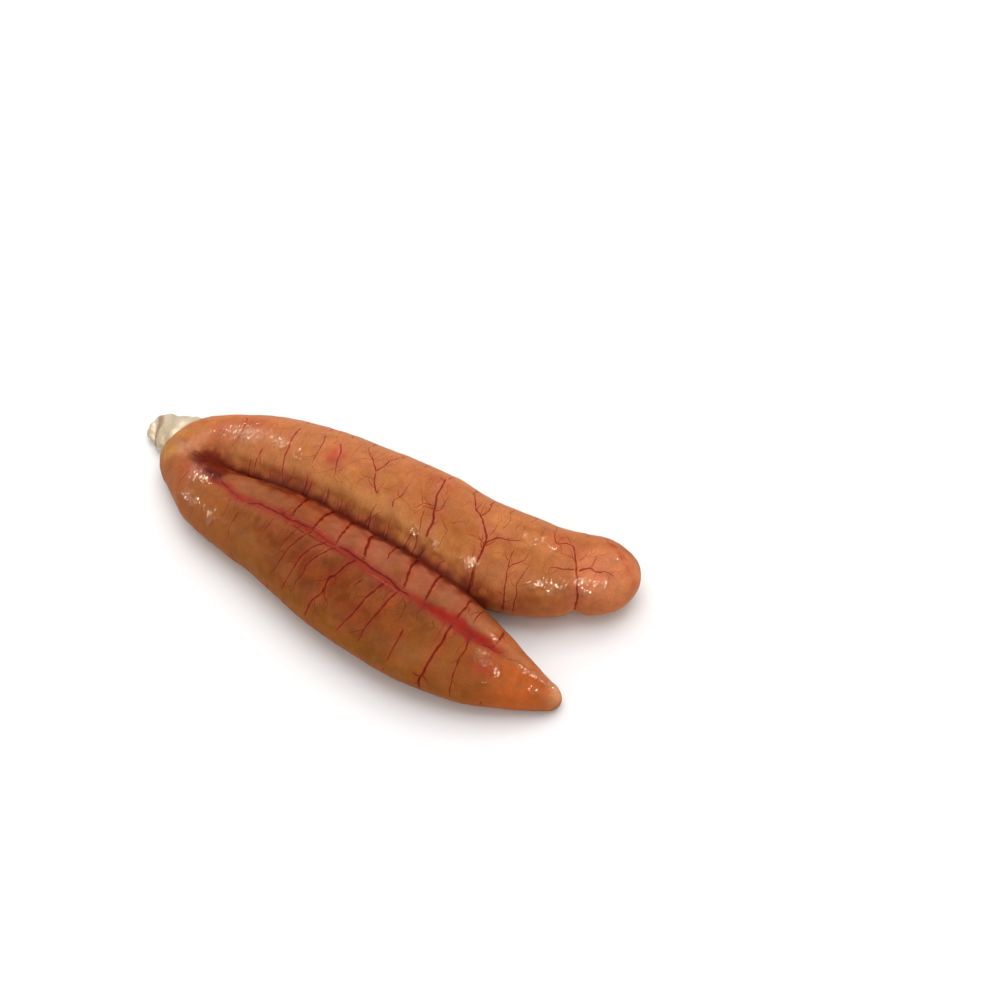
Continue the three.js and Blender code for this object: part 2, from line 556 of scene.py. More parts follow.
@dataclass
class VesselGrower:
    """Lays out a lobe's vessels in fine steps, and grows twigs on them from seeded random draws.

    Lengths and widths are in millimetres, leans in radians. A pair is the range that a draw is made in,
    but for the bare ends, which are the lengths at head and tail that no twig reaches.
    """

    body: SweptBody
    draw: np.random.Generator
    branches: list[Branch] = field(default_factory=list)
    vessel_step: float = 0.42
    twig_step: float = 0.5
    fewest_steps: int = 6
    sway: tuple[Ripples, ...] = (Ripples(0.13, 6.5, 0, 6), Ripples(0.04, 2.3, 1, 6))
    throb: Ripples = Ripples(0.2, 3.4, 2, 6)
    flow: Ripples = Ripples(0.15, 4.0, 3, 6)
    steady_end: float = 1.5
    pointed_end: float = 1.2
    faint_start: float = 0.8
    faint_end: float = 2.0
    taper_power: float = 1.2
    half_share: float = 0.45
    least_half: float = 0.13
    trunk_width: float = 0.65
    twig_lean: tuple[float, float] = (0.6, 1.15)
    twig_half: tuple[float, float] = (0.5, 0.75)
    twig_reach: tuple[float, float] = (2.5, 8.0)
    twig_blood: tuple[float, float] = (0.5, 0.85)
    twig_least_half: float = 0.14
    twig_narrowing: float = 0.5
    twig_fading: float = 0.55
    wander: float = 0.05
    wander_kept: float = 0.8
    fork_chance: float = 0.075
    fork_lean: tuple[float, float] = (0.5, 0.95)
    fork_reach: tuple[float, float] = (0.3, 0.6)
    fork_half: float = 0.75
    fork_blood: float = 0.8
    most_forks: int = 3
    shortest_twig: int = 4
    bare_ends: tuple[float, float] = (1.5, 1.2)

    def grow(self, vessel: Vessel) -> None:
        """Lays out one vessel with its twigs.

        Args:
            vessel: The vessel to lay out.
        """
        places = np.array(vessel.route, dtype=float)
        rough = catmull_rom(places, np.linspace(0, 1, 30 * len(places)))
        bare = self.body.surface(rough[:, 0], np.radians(rough[:, 1]))
        run = added_up(np.linalg.norm(np.diff(bare, axis=0), axis=1))
        count = max(self.fewest_steps, int(run[-1] / self.vessel_step))
        passed = np.linspace(0, run[-1], count)
        left = run[-1] - passed
        along = np.interp(passed, run, rough[:, 0])
        turn = np.radians(np.interp(passed, run, rough[:, 1]))
        heading, lengthways, around = self.body.course(along, turn)
        seed = int(self.draw.integers(1 << 30))
        line = passed[:, None]
        sway = layered(self.sway, line, seed) * np.minimum(1, np.minimum(passed, left) / self.steady_end)
        along = along + np.sin(heading) * sway / lengthways
        turn = turn - np.cos(heading) * sway / around
        taper = 1 - (1 - vessel.tip) * (passed / run[-1]) ** self.taper_power
        throb = 1 + self.throb.at(line, seed)
        point = np.sqrt(np.clip(left / self.pointed_end, 0.05, 1))
        half = self.half_share * vessel.width * taper * throb * point
        blood = vessel.blood * np.clip(0.3 + passed / self.faint_start, 0, 1)
        blood = blood * np.clip(left / self.faint_end, 0.1, 1) * (1 + self.flow.at(line, seed))
        trunk = vessel.width >= self.trunk_width
        kept = np.maximum(half, self.least_half)
        self.branches.append(Branch(along, turn, kept, blood, vessel.furrow, trunk, vessel.tone))
        for _ in range(vessel.twigs):
            start = int(self.draw.integers(count // 6, count - 1))
            lean = self.draw.choice([-1.0, 1.0]) * self.draw.uniform(*self.twig_lean)
            thick = float(half[start]) * self.draw.uniform(*self.twig_half)
            reach = self.draw.uniform(*self.twig_reach)
            dark = float(vessel.blood) * self.draw.uniform(*self.twig_blood)
            place = (float(along[start]), float(turn[start]))
            self.sprout(place, float(heading[start]) + lean, thick, reach, dark)

    def sprout(self, place: tuple[float, float], heading: float, half: float, reach: float, blood: float,
               forks: int = 1) -> None:
        """Grows a twig that wanders off from a vessel, and its own smaller twigs.

        Args:
            place: Where it starts: along the lobe and around it.
            heading: Its direction, in radians from the lobe's length.
            half: Its half width at the start.
            reach: Its length.
            blood: How dark it is.
            forks: How many forks it is away from its vessel.
        """
        count = max(self.fewest_steps, int(reach / self.twig_step))
        drift = self.draw.normal(0, self.wander, count)
        for n in range(1, count):
            drift[n] += self.wander_kept * drift[n - 1]
        headings = heading + np.cumsum(drift)
        scales = self.body.scales(np.array(place[0]), np.array(place[1]))
        lengthways, around = (float(scale) for scale in scales)
        along = place[0] + np.cumsum(np.cos(headings)) * self.twig_step / lengthways
        turn = place[1] + np.cumsum(np.sin(headings)) * self.twig_step / around
        share = np.linspace(0, 1, count)
        at_head, at_tail = self.bare_ends
        off = np.flatnonzero((along < at_head) | (along > self.body.length - at_tail))
        end = int(off[0]) if len(off) else count
        if end > self.shortest_twig:
            narrow = np.maximum(half * (1 - self.twig_narrowing * share), self.twig_least_half)
            fading = blood * (1 - self.twig_fading * share)
            self.branches.append(Branch(along[:end], turn[:end], narrow[:end], fading[:end]))
        for n in range(2, min(end, count - 2)):
            if forks < self.most_forks and self.draw.random() < self.fork_chance:
                lean = self.draw.choice([-1.0, 1.0]) * self.draw.uniform(*self.fork_lean)
                shorter = reach * self.draw.uniform(*self.fork_reach)
                start = (float(along[n]), float(turn[n]))
                fork = float(headings[n]) + lean
                self.sprout(start, fork, half * self.fork_half, shorter, blood * self.fork_blood, forks + 1)


@dataclass(frozen=True)
class BandPoint:
    """A point on the wide red vessel that runs along a lobe."""

    along: float
    around: float
    red: float
    half_width: float


@dataclass
class Lobe(SweptBody):
    """One egg lobe, with its pinch, its wrinkled wet areas, its colours and its vessels.

    The wrinkles' rise is that of dry skin and what wet adds. The halo's reach is that of a vessel
    of no width and what each millimetre adds. A pair called start, edge or heights is where a thing
    begins to show and where it shows in full. The last three values are filled in as the lobe is built.
    """

    ground: Tone = Tone.TAN
    pinch_from_tail: float = 0.0
    pinch_half_length: float = 1.6
    pinch_depth: float = 0.0
    pinch_turn: float = 0.35
    swellings: tuple[Ripples, ...] = (Ripples(0.14, 24.0, 0), Ripples(0.08, 9.0, 1), Ripples(0.035, 3.2, 2))
    wrinkles: Ripples = Ripples(1.0, 2.8, 3, 20)
    wrinkle_rise: tuple[float, float] = (0.008, 0.07)
    wrinkle_radius: float = 3.4
    wet_edge: tuple[Ripples, Ripples] = (Ripples(1.1, 4.5, 30), Ripples(0.07, 4.0, 31))
    wet_mottle: Ripples = Ripples(0.35, 2.6, 32)
    furrow_flank: float = 0.75
    halo_reach: tuple[float, float] = (1.1, 2.6)
    halo_full_half_width: float = 0.35
    band_wander: Ripples = Ripples(0.3, 9.0, 5)
    band_edge: tuple[Ripples, ...] = (Ripples(0.25, 4.0, 6), Ripples(0.1, 2.0, 7))
    band_strength: float = 0.95
    flush_reach: float = 2.3
    flush_strength: float = 0.85
    groove_depth: float = 0.3
    groove_rim: float = 0.4
    foot_shade_strength: float = 0.5
    foot_shade_heights: tuple[float, float] = (5.5, 1.0)
    cloud: Ripples = Ripples(1.0, 16.0, 20)
    wash_edge: tuple[Ripples, Ripples] = (Ripples(2.2, 16.0, 20), Ripples(0.09, 11.0, 21))
    mark_edge: tuple[Ripples, Ripples] = (Ripples(0.6, 3.6, 23), Ripples(0.05, 3.6, 24))
    spot_edge: tuple[Ripples, ...] = (Ripples(0.8, 5.0, 22), Ripples(0.5, 1.9, 32))
    clouds: tuple[Tone, Tone] = (Tone.ROSE, Tone.GOLD)
    cloud_covers: tuple[tuple[Ripples, float], ...] = (
        (Ripples(1.0, 10.0, 27), 0.28),
        (Ripples(1.0, 3.2, 28), 0.1),
    )
    cloud_edge: tuple[float, float] = (0.1, 1.0)
    cloud_clearance: float = 7.0
    glow: Tone = Tone.PINK
    glow_strength: float = 0.5
    seam_edge: Ripples = Ripples(0.45, 5.0, 25)
    seam_start: tuple[float, float] = (-66, -60)
    seam_reach: float = 0.6
    seam_strength: float = 0.95
    seam_stain_and_shade: float = 2.4
    stain_and_shade_strength: float = 0.55
    streaks: Ripples = Ripples(1.0, 2.2, 29, 8)
    streak_start: tuple[float, float] = (-54, -44)
    streak_radius: float = 1.6
    streak_reach: float = 2.0
    streak_strength: float = 0.36
    brightness: float = 0.91
    mottle: tuple[Ripples, ...] = (Ripples(0.05, 16.0, 20), Ripples(0.035, 5.0, 26))
    band: tuple[BandPoint, ...] = ()
    wrinkled: tuple[Patch, ...] = ()
    washes: tuple[Wash, ...] = ()
    marks: tuple[Wash, ...] = ()
    vessels: tuple[Vessel, ...] = ()
    rows: tuple[VesselRow, ...] = ()
    gap: np.ndarray | None = None
    merge_offset: np.ndarray | None = None
    tone: np.ndarray | None = None

    def squeeze(self, along: np.ndarray, turn: np.ndarray) -> np.ndarray:
        """Pulls the section in at the pinch, most on the side facing the other lobe."""
        pinch = self.pinch_depth * bell(self.length - along - self.pinch_from_tail, self.pinch_half_length)
        return 1 - pinch * (0.5 + 0.5 * np.cos(turn + self.pinch_turn))

    def frayed(self, points: np.ndarray, edge: tuple[Ripples, Ripples]) -> tuple[np.ndarray, np.ndarray]:
        """Shifts the grid's distances and angles about, so that what is laid there has an uneven edge."""
        along, turn = self.grid
        return along + edge[0].at(points, self.seed), turn + edge[1].at(points, self.seed)

    @cached_property
    def branches(self) -> list[Branch]:
        """Every vessel and twig of the lobe, laid out in fine steps."""
        grower = VesselGrower(self, np.random.default_rng(self.seed))
        for vessel in self.vessels:
            grower.grow(vessel)
        for row in self.rows:
            for vessel in row.vessels(grower.draw):
                grower.grow(vessel)
        return grower.branches

    def nearest(self, branches: list[Branch]) -> tuple[np.ndarray, np.ndarray]:
        """Finds the branch nearest to each of the grid's points.

        Args:
            branches: The branches to look among.

        Returns:
            The distances, and the half width, blood and furrow of the branch there in the last axis.
        """
        shape = self.grid[0].shape
        facts = np.vstack([
            np.column_stack([b.half_width, b.blood, np.full(len(b.blood), b.furrow)]) for b in branches
        ])
        tree = point_tree(np.vstack([self.surface(branch.along, branch.turn) for branch in branches]))
        found = [tree.find(point)[1:] for point in self.surface(*self.grid).reshape(-1, 3)]
        index = np.array([item[0] for item in found])
        distance = np.array([item[1] for item in found])
        return distance.reshape(shape), facts[index].reshape(*shape, 3)

    @cached_property
    def veins(self) -> dict[str, np.ndarray]:
        """How the vessels show around themselves: their furrows, and the red halos of the wider ones."""
        distance, facts = self.nearest(self.branches)
        furrow = facts[..., 2] * bell(distance, facts[..., 0] + self.furrow_flank)
        distance, facts = self.nearest([branch for branch in self.branches if branch.trunk])
        wide = facts[..., 0]
        halo = facts[..., 1] * bell(distance, self.halo_reach[0] + self.halo_reach[1] * wide)
        return {"furrow": furrow, "halo": halo * np.minimum(1, wide / self.halo_full_half_width)}

    @cached_property
    def banding(self) -> dict[str, np.ndarray]:
        """How the wide red vessel shows: its red, its flush and its groove, 0 where there is none."""
        along, turn = self.grid
        if not self.band:
            return dict.fromkeys(("red", "flush", "groove"), np.zeros(along.shape))
        course = np.array([astuple(point) for point in self.band])
        middle, red, half = (np.interp(along, course[:, 0], course[:, n]) for n in (1, 2, 3))
        wander = self.band_wander.at(along[..., None], self.seed)
        beside = (turn - np.radians(middle)) * self.scales(along, turn)[1] + wander
        beyond = np.maximum(0, course[0, 0] - along) + np.maximum(0, along - course[-1, 0])
        off = np.hypot(beside, beyond)
        ragged = half * layered(self.band_edge, self.surface(along, turn), self.seed, 1.0)
        return {
            "red": red * bell(off, ragged, 4),
            "flush": (0.6 + 0.4 * red) * bell(off, self.flush_reach),
            "groove": bell(off, half + 0.3) - self.groove_rim * bell(off - half - 2.2, 1.5),
        }

    @cached_property
    def wetness(self) -> np.ndarray:
        """How finely wrinkled and wet each of the grid's points is, 0 to 1."""
        points = self.surface(*self.grid)
        places = self.frayed(points, self.wet_edge)
        total = sum(patch.cover(*places) for patch in self.wrinkled)
        return np.clip(total * (1 + self.wet_mottle.at(points, self.seed)), 0, 1)

    def relief(self, points: np.ndarray) -> np.ndarray:
        """Gives how far the skin stands out: swellings, wrinkles, furrows, groove and the merged head.

        Args:
            points: The bare surface's points.

        Returns:
            The height at each, in millimetres.
        """
        along, turn = self.grid
        dry, wet = self.wrinkle_rise
        unrolled = np.stack([along, turn * self.wrinkle_radius], axis=-1)
        height = layered(self.swellings, points, self.seed)
        height += (dry + wet * self.wetness) * self.wrinkles.at(unrolled, self.seed)
        height -= self.veins["furrow"]
        height -= self.groove_depth * self.banding["groove"]
        if self.merge_offset is not None:
            height += self.merge_offset
        return height * ease(0.0, 0.5, np.sin(turn) + 0.95)

    def paint(self, spots: tuple[Spot, ...]) -> None:
        """Works out the colour at each of the lobe's points.

        Args:
            spots: The soft areas that both lobes take where they meet.
        """
        points = self.skin[0]
        paint = Paint(self.ground, points.shape)
        self.paint_ground(paint, points)
        paint.lay_all(self.marks, *self.frayed(points, self.mark_edge))
        paint.lay(self.glow, self.glow_strength * self.veins["halo"])
        paint.lay(Tone.WINE, self.flush_strength * self.banding["flush"])
        paint.lay(Tone.BAND, self.band_strength * self.banding["red"])
        moved = points.copy()
        for ripples in self.spot_edge:
            moved += ripples.shift(points, self.seed)
        paint.lay_all(spots, moved)
        self.paint_seam(paint, points)
        paint.shade(self.brightness * layered(self.mottle, points, self.seed, 1.0))
        self.tone = paint.colour

    def paint_ground(self, paint: Paint, points: np.ndarray) -> None:
        """Lays the washes, the painted shade that darkens the foot and the clouds.

        Args:
            paint: The lobe's colours.
            points: The skin's points.
        """
        paint.lay_all(self.washes, *self.frayed(points, self.wash_edge))
        # Painted shade: the skin is darker towards the floor.
        height = points[..., 2] + self.cloud.at(points, self.seed)
        paint.lay(Tone.MOSS, self.foot_shade_strength * ease(*self.foot_shade_heights, height))
        open_skin = ease(0.0, self.cloud_clearance, self.gap)
        for ripples, cover in self.cloud_covers:
            patchy = ripples.at(points, self.seed)
            for tone, side in zip(self.clouds, (patchy, -patchy)):
                paint.lay(tone, cover * open_skin * ease(*self.cloud_edge, side))

    def paint_seam(self, paint: Paint, points: np.ndarray) -> None:
        """Lays the dark crease between the lobes and the stain beside it, both blood and painted shade, and
        streaks that run out of it.

        Args:
            paint: The lobe's colours.
            points: The skin's points.
        """
        along, turn = self.grid
        apart = np.maximum(self.gap, 0) / np.clip(1 + self.seam_edge.at(points, self.seed), 0.3, 1.9)
        shown = ease(-0.5, 0.2, np.sin(turn)) * ease(*self.seam_start, points[..., 0])
        # The stain beside the crease is partly blood and partly painted shade.
        paint.lay(Tone.MAROON, self.stain_and_shade_strength * shown * bell(apart, self.seam_stain_and_shade, 1.5))
        unrolled = np.stack([along, turn * self.streak_radius], axis=-1)
        streaks = ease(0.1, 1.0, self.streaks.at(unrolled, self.seed))
        streaks *= ease(*self.streak_start, points[..., 0])
        paint.lay(Tone.MAROON, self.streak_strength * shown * streaks * bell(apart, self.streak_reach))
        # The crease line: its blood and the shade in the groove, painted.
        paint.lay(Tone.CREASE_BLOOD_AND_SHADE, self.seam_strength * shown * bell(apart, self.seam_reach))


@dataclass(frozen=True)
class Pattern:
    """A noise pattern: its scale per metre, its finer octaves and its frequency along x, y and z.

    The light is how far it darkens and lightens the tone.
    """

    scale: float
    detail: float
    stretch: tuple[float, float, float] = (1.0, 1.0, 1.0)
    light: tuple[float, float] = (1.0, 1.0)


class NodeKit:
    """Builds one material's node tree in short steps."""

    # Where most of a noise pattern's values lie.
    NOISE_RANGE = (0.3, 0.7)

    def __init__(self, name: str) -> None:
        """Starts an empty material.

        Args:
            name: The material's name.
        """
        self.material = bpy.data.materials.new(name)
        self.material.use_nodes = True
        self.tree = self.material.node_tree
        self.tree.nodes.clear()

    @cached_property
    def coords(self) -> Socket:
        """The place in the object, in metres."""
        return self.add("ShaderNodeTexCoord", {}).outputs["Object"]

    def add(self, kind: str, inputs: dict[str | int, object], **settings: object) -> bpy.types.Node:
        """Adds a node.

        Args:
            kind: The node's type.
            inputs: A value, or another node's output, for each input.
            settings: The node's own settings.

        Returns:
            The node.
        """
        node = self.tree.nodes.new(kind)
        for name, value in settings.items():
            setattr(node, name, value)
        for name, value in inputs.items():
            if isinstance(value, Socket):
                self.tree.links.new(value, node.inputs[name])
            else:
                node.inputs[name].default_value = value
        return node

    def attribute(self, name: str, output: str) -> Socket:
        """Reads an attribute of the mesh by one of the node's outputs."""
        return self.add("ShaderNodeAttribute", {}, attribute_name=name).outputs[output]

    def noise(self, pattern: Pattern) -> Socket:
        """Adds a noise pattern.

        Args:
            pattern: The pattern to add.

        Returns:
            Its value, about 0.5.
        """
        mapping = self.add("ShaderNodeMapping", {"Vector": self.coords, "Scale": pattern.stretch})
        inputs = {"Vector": mapping.outputs["Vector"], "Scale": pattern.scale, "Detail": pattern.detail}
        return self.add("ShaderNodeTexNoise", inputs).outputs["Fac"]

    def ranged(self, value: Socket, taken: tuple[float, float],
               given: tuple[float, float]) -> Socket:
        """Maps a value from the range that it is taken in to the one that is given, held at its ends."""
        names = ("Value", "From Min", "From Max", "To Min", "To Max")
        return self.add("ShaderNodeMapRange", dict(zip(names, (value, *taken, *given)))).outputs["Result"]

    def varied(self, noise: Socket, given: tuple[float, float]) -> Socket:
        """Spreads a noise pattern over a range."""
        return self.ranged(noise, self.NOISE_RANGE, given)

    def maths(self, operation: str, first: object, second: object) -> Socket:
        """Works out one number from two."""
        return self.add("ShaderNodeMath", {0: first, 1: second}, operation=operation).outputs["Value"]

    def product(self, *values: Socket) -> Socket:
        """Multiplies numbers."""
        return reduce(lambda first, second: self.maths("MULTIPLY", first, second), values)

    def lit(self, noises: Iterable[Socket], patterns: Iterable[Pattern]) -> Socket:
        """Works out how light or dark the noise of some patterns makes a tone, as a factor."""
        return self.product(*(self.varied(noise, pattern.light) for noise, pattern in zip(noises, patterns)))

    def between(self, share: Socket, first: object, second: object) -> Socket:
        """Mixes two numbers by a share."""
        return self.add("ShaderNodeMix", {"Factor": share, "A": first, "B": second}).outputs["Result"]

    def tinted(self, share: Socket, tint: tuple[float, float, float]) -> Socket:
        """Goes from white to a tint by a share."""
        colours = {"Factor": share, 6: (1.0, 1.0, 1.0, 1.0), 7: (*tint, 1.0)}
        return self.add("ShaderNodeMix", colours, data_type="RGBA").outputs[2]

    def vectors(self, operation: str, first: object, second: object) -> Socket:
        """Works out one vector from two."""
        return self.add("ShaderNodeVectorMath", {0: first, 1: second}, operation=operation).outputs["Vector"]

    def scaled(self, colour: Socket, factor: Socket) -> Socket:
        """Makes a colour lighter or darker by a factor."""
        inputs = {0: colour, "Scale": factor}
        return self.add("ShaderNodeVectorMath", inputs, operation="SCALE").outputs["Vector"]

    def bent(self, scale: float, reach: float) -> Socket:
        """Shifts the places in the object about, so that straight patterns bend.

        Args:
            scale: How close the bends are, per metre.
            reach: How far a place is shifted, in metres.

        Returns:
            The shifted places.
        """
        noise = self.add("ShaderNodeTexNoise", {"Scale": scale, "Vector": self.coords}).outputs["Color"]
        shift = self.vectors("SUBTRACT", noise, (0.5, 0.5, 0.5))
        return self.vectors("ADD", self.coords, self.vectors("MULTIPLY", shift, (reach, reach, reach)))

    def cell_edges(self, places: Socket, scale: float) -> Socket:
        """Gives the distance to the nearest edge in a pattern of so many cells per metre."""
        inputs = {"Scale": scale, "Vector": places}
        return self.add("ShaderNodeTexVoronoi", inputs, feature="DISTANCE_TO_EDGE").outputs["Distance"]

    def bump(self, height: Socket, strength: float, distance: float) -> Socket:
        """Gives the normal of a skin whose bumps are a distance high, in metres, where the height is 1."""
        inputs = {"Strength": strength, "Distance": distance, "Height": height}
        return self.add("ShaderNodeBump", inputs).outputs["Normal"]

    def finished(self, inputs: dict[str, object]) -> bpy.types.Material:
        """Adds the surface shader and the material's output.

        Args:
            inputs: A value, or a node's output, for each input of the shader.

        Returns:
            The finished material.
        """
        shader = self.add("ShaderNodeBsdfPrincipled", inputs)
        self.add("ShaderNodeOutputMaterial", {"Surface": shader.outputs["BSDF"]})
        return self.material


@dataclass(frozen=True)
class MembraneFinish:
    """The wet egg membrane: tone by place, fine grain and capillaries, and a gloss that follows the wet."""

    name: str = "wet_egg_membrane"
    mottle: Pattern = Pattern(330.0, 4.0, light=(0.92, 1.08))
    streak: Pattern = Pattern(300.0, 5.0, (2.6, 0.6, 0.6), (0.95, 1.05))
    grain: Pattern = Pattern(1700.0, 2.0, light=(0.91, 1.09))
    wrinkle: Pattern = Pattern(880.0, 0.6, (1.25, 0.5, 0.5))
    roughness_dry: tuple[float, float] = (0.4, 0.52)
    roughness_wet: float = 0.4
    coat_wet: float = 0.6
    coat_starts: tuple[float, float] = (0.2, 0.55)
    coat_roughness: float = 0.04
    specular: float = 0.05
    refraction: float = 1.4
    scatter: float = 0.12
    scatter_radius: tuple[float, float, float] = (0.002, 0.0008, 0.0004)
    wrinkle_wet: tuple[float, float] = (0.0, 0.5)
    wrinkle_shares: tuple[float, float] = (0.07, 1.0)
    grain_height: float = 0.027
    bump_height: float = 0.0007
    capillary_cells: float = 230.0
    capillary_bends: float = 240.0
    capillary_sway: float = 0.003
    capillary_width: float = 0.05
    capillary_areas: Pattern = Pattern(90.0, 2.0)
    capillary_starts: tuple[float, float] = (0.46, 0.62)
    capillary_strength: float = 0.3
    capillary_tint: tuple[float, float, float] = (0.72, 0.5, 0.42)

    def build(self) -> bpy.types.Material:
        """Makes the material.

        Returns:
            The new material.
        """
        kit = NodeKit(self.name)
        wet = kit.attribute(WET, "Fac")
        patterns = (self.mottle, self.streak, self.grain)
        mottle, streak, grain = (kit.noise(pattern) for pattern in patterns)
        light = kit.lit((mottle, streak, grain), patterns)
        veined = kit.vectors("MULTIPLY", kit.attribute(TONE, "Color"), self.capillaries(kit))
        dry = kit.varied(mottle, self.roughness_dry)
        fine = kit.product(kit.noise(self.wrinkle), kit.ranged(wet, self.wrinkle_wet, self.wrinkle_shares))
        height = kit.maths("ADD", fine, kit.maths("MULTIPLY", grain, self.grain_height))
        bumped = kit.bump(height, 1.0, self.bump_height)
        return kit.finished(
            {
                "Base Color": kit.scaled(veined, light),
                "Roughness": kit.between(wet, dry, self.roughness_wet),
                "Coat Weight": kit.ranged(wet, self.coat_starts, (0.0, self.coat_wet)),
                "Coat Roughness": self.coat_roughness,
                "Subsurface Weight": self.scatter,
                "Subsurface Radius": self.scatter_radius,
                "Subsurface Scale": 1.0,
                "Specular IOR Level": self.specular,
                "IOR": self.refraction,
                "Normal": bumped,
                "Coat Normal": bumped,
            }
        )

    def capillaries(self, kit: NodeKit) -> Socket:
        """Draws a faint net of the finest vessels, which comes and goes over the skin.

        Args:
            kit: The material's node builder.

        Returns:
            The colour to multiply the skin's tone with.
        """
        bent = kit.bent(self.capillary_bends, self.capillary_sway)
        edges = kit.cell_edges(bent, self.capillary_cells)
        lines = kit.ranged(edges, (0.0, self.capillary_width), (1.0, 0.0))
        areas = kit.noise(self.capillary_areas)
        shown = kit.ranged(areas, self.capillary_starts, (0.0, self.capillary_strength))
        return kit.tinted(kit.product(lines, shown), self.capillary_tint)


@dataclass(frozen=True)
class DuctFinish:
    """The moist, cream coloured tissue of the egg duct."""

    mottle: Pattern = Pattern(380.0, 5.0, light=(0.9, 1.08))
    fibre: Pattern = Pattern(600.0, 4.0, (0.5, 1.6, 1.2), (0.95, 1.04))
    roughness: tuple[float, float] = (0.32, 0.5)
    coat: float = 0.25
    coat_roughness: float = 0.15
    specular: float = 0.35
    scatter: float = 0.2
    scatter_radius: tuple[float, float, float] = (0.002, 0.0016, 0.0011)
    bump_strength: float = 0.8
    bump_height: float = 0.0005

    def build(self) -> bpy.types.Material:
        """Makes the material.

        Returns:
            The new material.
        """
        kit = NodeKit("egg_duct_tissue")
        mottle, fibre = kit.noise(self.mottle), kit.noise(self.fibre)
        light = kit.lit((mottle, fibre), (self.mottle, self.fibre))
        bumped = kit.bump(fibre, self.bump_strength, self.bump_height)
        return kit.finished(
            {
                "Base Color": kit.scaled(kit.attribute(TONE, "Color"), light),
                "Roughness": kit.varied(mottle, self.roughness),
                "Subsurface Weight": self.scatter,
                "Subsurface Radius": self.scatter_radius,
                "Subsurface Scale": 1.0,
                "Coat Weight": self.coat,
                "Coat Roughness": self.coat_roughness,
                "Specular IOR Level": self.specular,
                "Normal": bumped,
                "Coat Normal": bumped,
            }
        )


@dataclass(frozen=True)
class FloorFinish:
    """The plain pale surface under the roe."""

    colour: tuple[float, float, float] = (246, 246, 247)
    roughness: float = 0.7
    specular: float = 0.2

    def build(self) -> bpy.types.Material:
        """Makes the material."""
        look = {"Base Color": (*srgb(*self.colour), 1.0), "Roughness": self.roughness}
        return NodeKit("pale_floor").finished(look | {"Specular IOR Level": self.specular})


def new_object(name: str, points: np.ndarray, faces: list[tuple[int, ...]]) -> bpy.types.Object:
    """Makes a smooth mesh object and puts it in the scene.

    Args:
        name: The object's name.
        points: The points.
        faces: The faces.

    Returns:
        The new object.
    """
    mesh = bpy.data.meshes.new(name)
    mesh.from_pydata(points.tolist(), [], faces)
    mesh.polygons.foreach_set("use_smooth", [True] * len(mesh.polygons))
    mesh.update()
    thing = bpy.data.objects.new(name, mesh)
    bpy.context.scene.collection.objects.link(thing)
    return thing


def add_values(mesh: bpy.types.Mesh, name: str, values: np.ndarray) -> None:
    """Stores a number or a colour at each point of a mesh.

    Args:
        mesh: The mesh.
        name: The attribute's name.
        values: One number or three for each point.
    """
    if values.ndim == 1:
        mesh.attributes.new(name, "FLOAT", "POINT").data.foreach_set("value", values.astype(np.float32))
        return
    layer = mesh.color_attributes.new(name, "FLOAT_COLOR", "POINT")
    rgba = np.ones((len(values), 4), dtype=np.float32)
    rgba[:, :3] = values
    layer.data.foreach_set("color", rgba.ravel())


def union(first: bpy.types.Object, second: bpy.types.Object) -> bpy.types.Mesh:
    """Joins two closed bodies into one skin and removes them.

    Args:
        first: The first body.
        second: The second body.

    Returns:
        The joined mesh.
    """
    join = first.modifiers.new("join", "BOOLEAN")
    join.operation = "UNION"
    join.solver = "MANIFOLD"
    join.object = second
    shown = first.evaluated_get(bpy.context.evaluated_depsgraph_get())
    mesh = bpy.data.meshes.new_from_object(shown)
    for body in (first, second):
        bpy.data.objects.remove(body, do_unlink=True)
    return mesh


def tube_faces(rings: int, columns: int, start: int = 0) -> list[tuple[int, ...]]:
    """Gives the outward faces of a closed tube: its rings' points in order, then its two end points.

    Args:
        rings: The number of rings.
        columns: The number of points in a ring.
        start: The number of its first point.

    Returns:
        The faces.
    """
    faces: list[tuple[int, ...]] = []
    first_end = start + rings * columns
    last = first_end - columns
    for j in range(columns):
        k = (j + 1) % columns
        faces.append((first_end, start + j, start + k))
        faces.append((first_end + 1, last + k, last + j))
        for row in range(start, last, columns):
            faces.append((row + j, row + columns + j, row + columns + k, row + k))
    return faces


def runs_of(flags: np.ndarray) -> list[slice]:
    """Finds the unbroken runs of true values."""
    edges = np.flatnonzero(np.diff(np.concatenate([[0], flags.astype(int), [0]])))
    return [slice(int(a), int(b)) for a, b in zip(edges[::2], edges[1::2])]


def point_tree(points: np.ndarray) -> KDTree:
    """Makes a search tree of points.

    Args:
        points: The points, one a row.

    Returns:
        The tree, which numbers the points by their rows.
    """
    tree = KDTree(len(points))
    for n, point in enumerate(points):
        tree.insert(point, n)
    tree.balance()
    return tree


def skin_tree(points: np.ndarray) -> BVHTree:
    """Makes a search tree of a grid's skin, at a third of its fineness lengthways and half of it around.

    Args:
        points: The grid's points.

    Returns:
        The tree.
    """
    rows = np.unique(np.append(np.arange(0, points.shape[0], 3), points.shape[0] - 1))
    coarse = points[rows][:, ::2]
    ends = [coarse[0].mean(axis=0), coarse[-1].mean(axis=0)]
    skin = np.vstack([coarse.reshape(-1, 3), ends]).tolist()
    return BVHTree.FromPolygons(skin, tube_faces(*coarse.shape[:2]))


def distance_to(points: np.ndarray, other: np.ndarray) -> np.ndarray:
    """Measures from points to another grid's skin.

    Args:
        points: The points, with x, y and z in the last axis.
        other: The other grid's points.

    Returns:
        The distance at each, below 0 inside the other.
    """
    tree = skin_tree(other)
    distances = []
    for point in points.reshape(-1, 3):
        place = Vector(point)
        found, facing, _, distance = tree.find_nearest(place)
        distances.append(distance if (place - found).dot(facing) > 0 else -distance)
    return np.array(distances).reshape(points.shape[:-1])


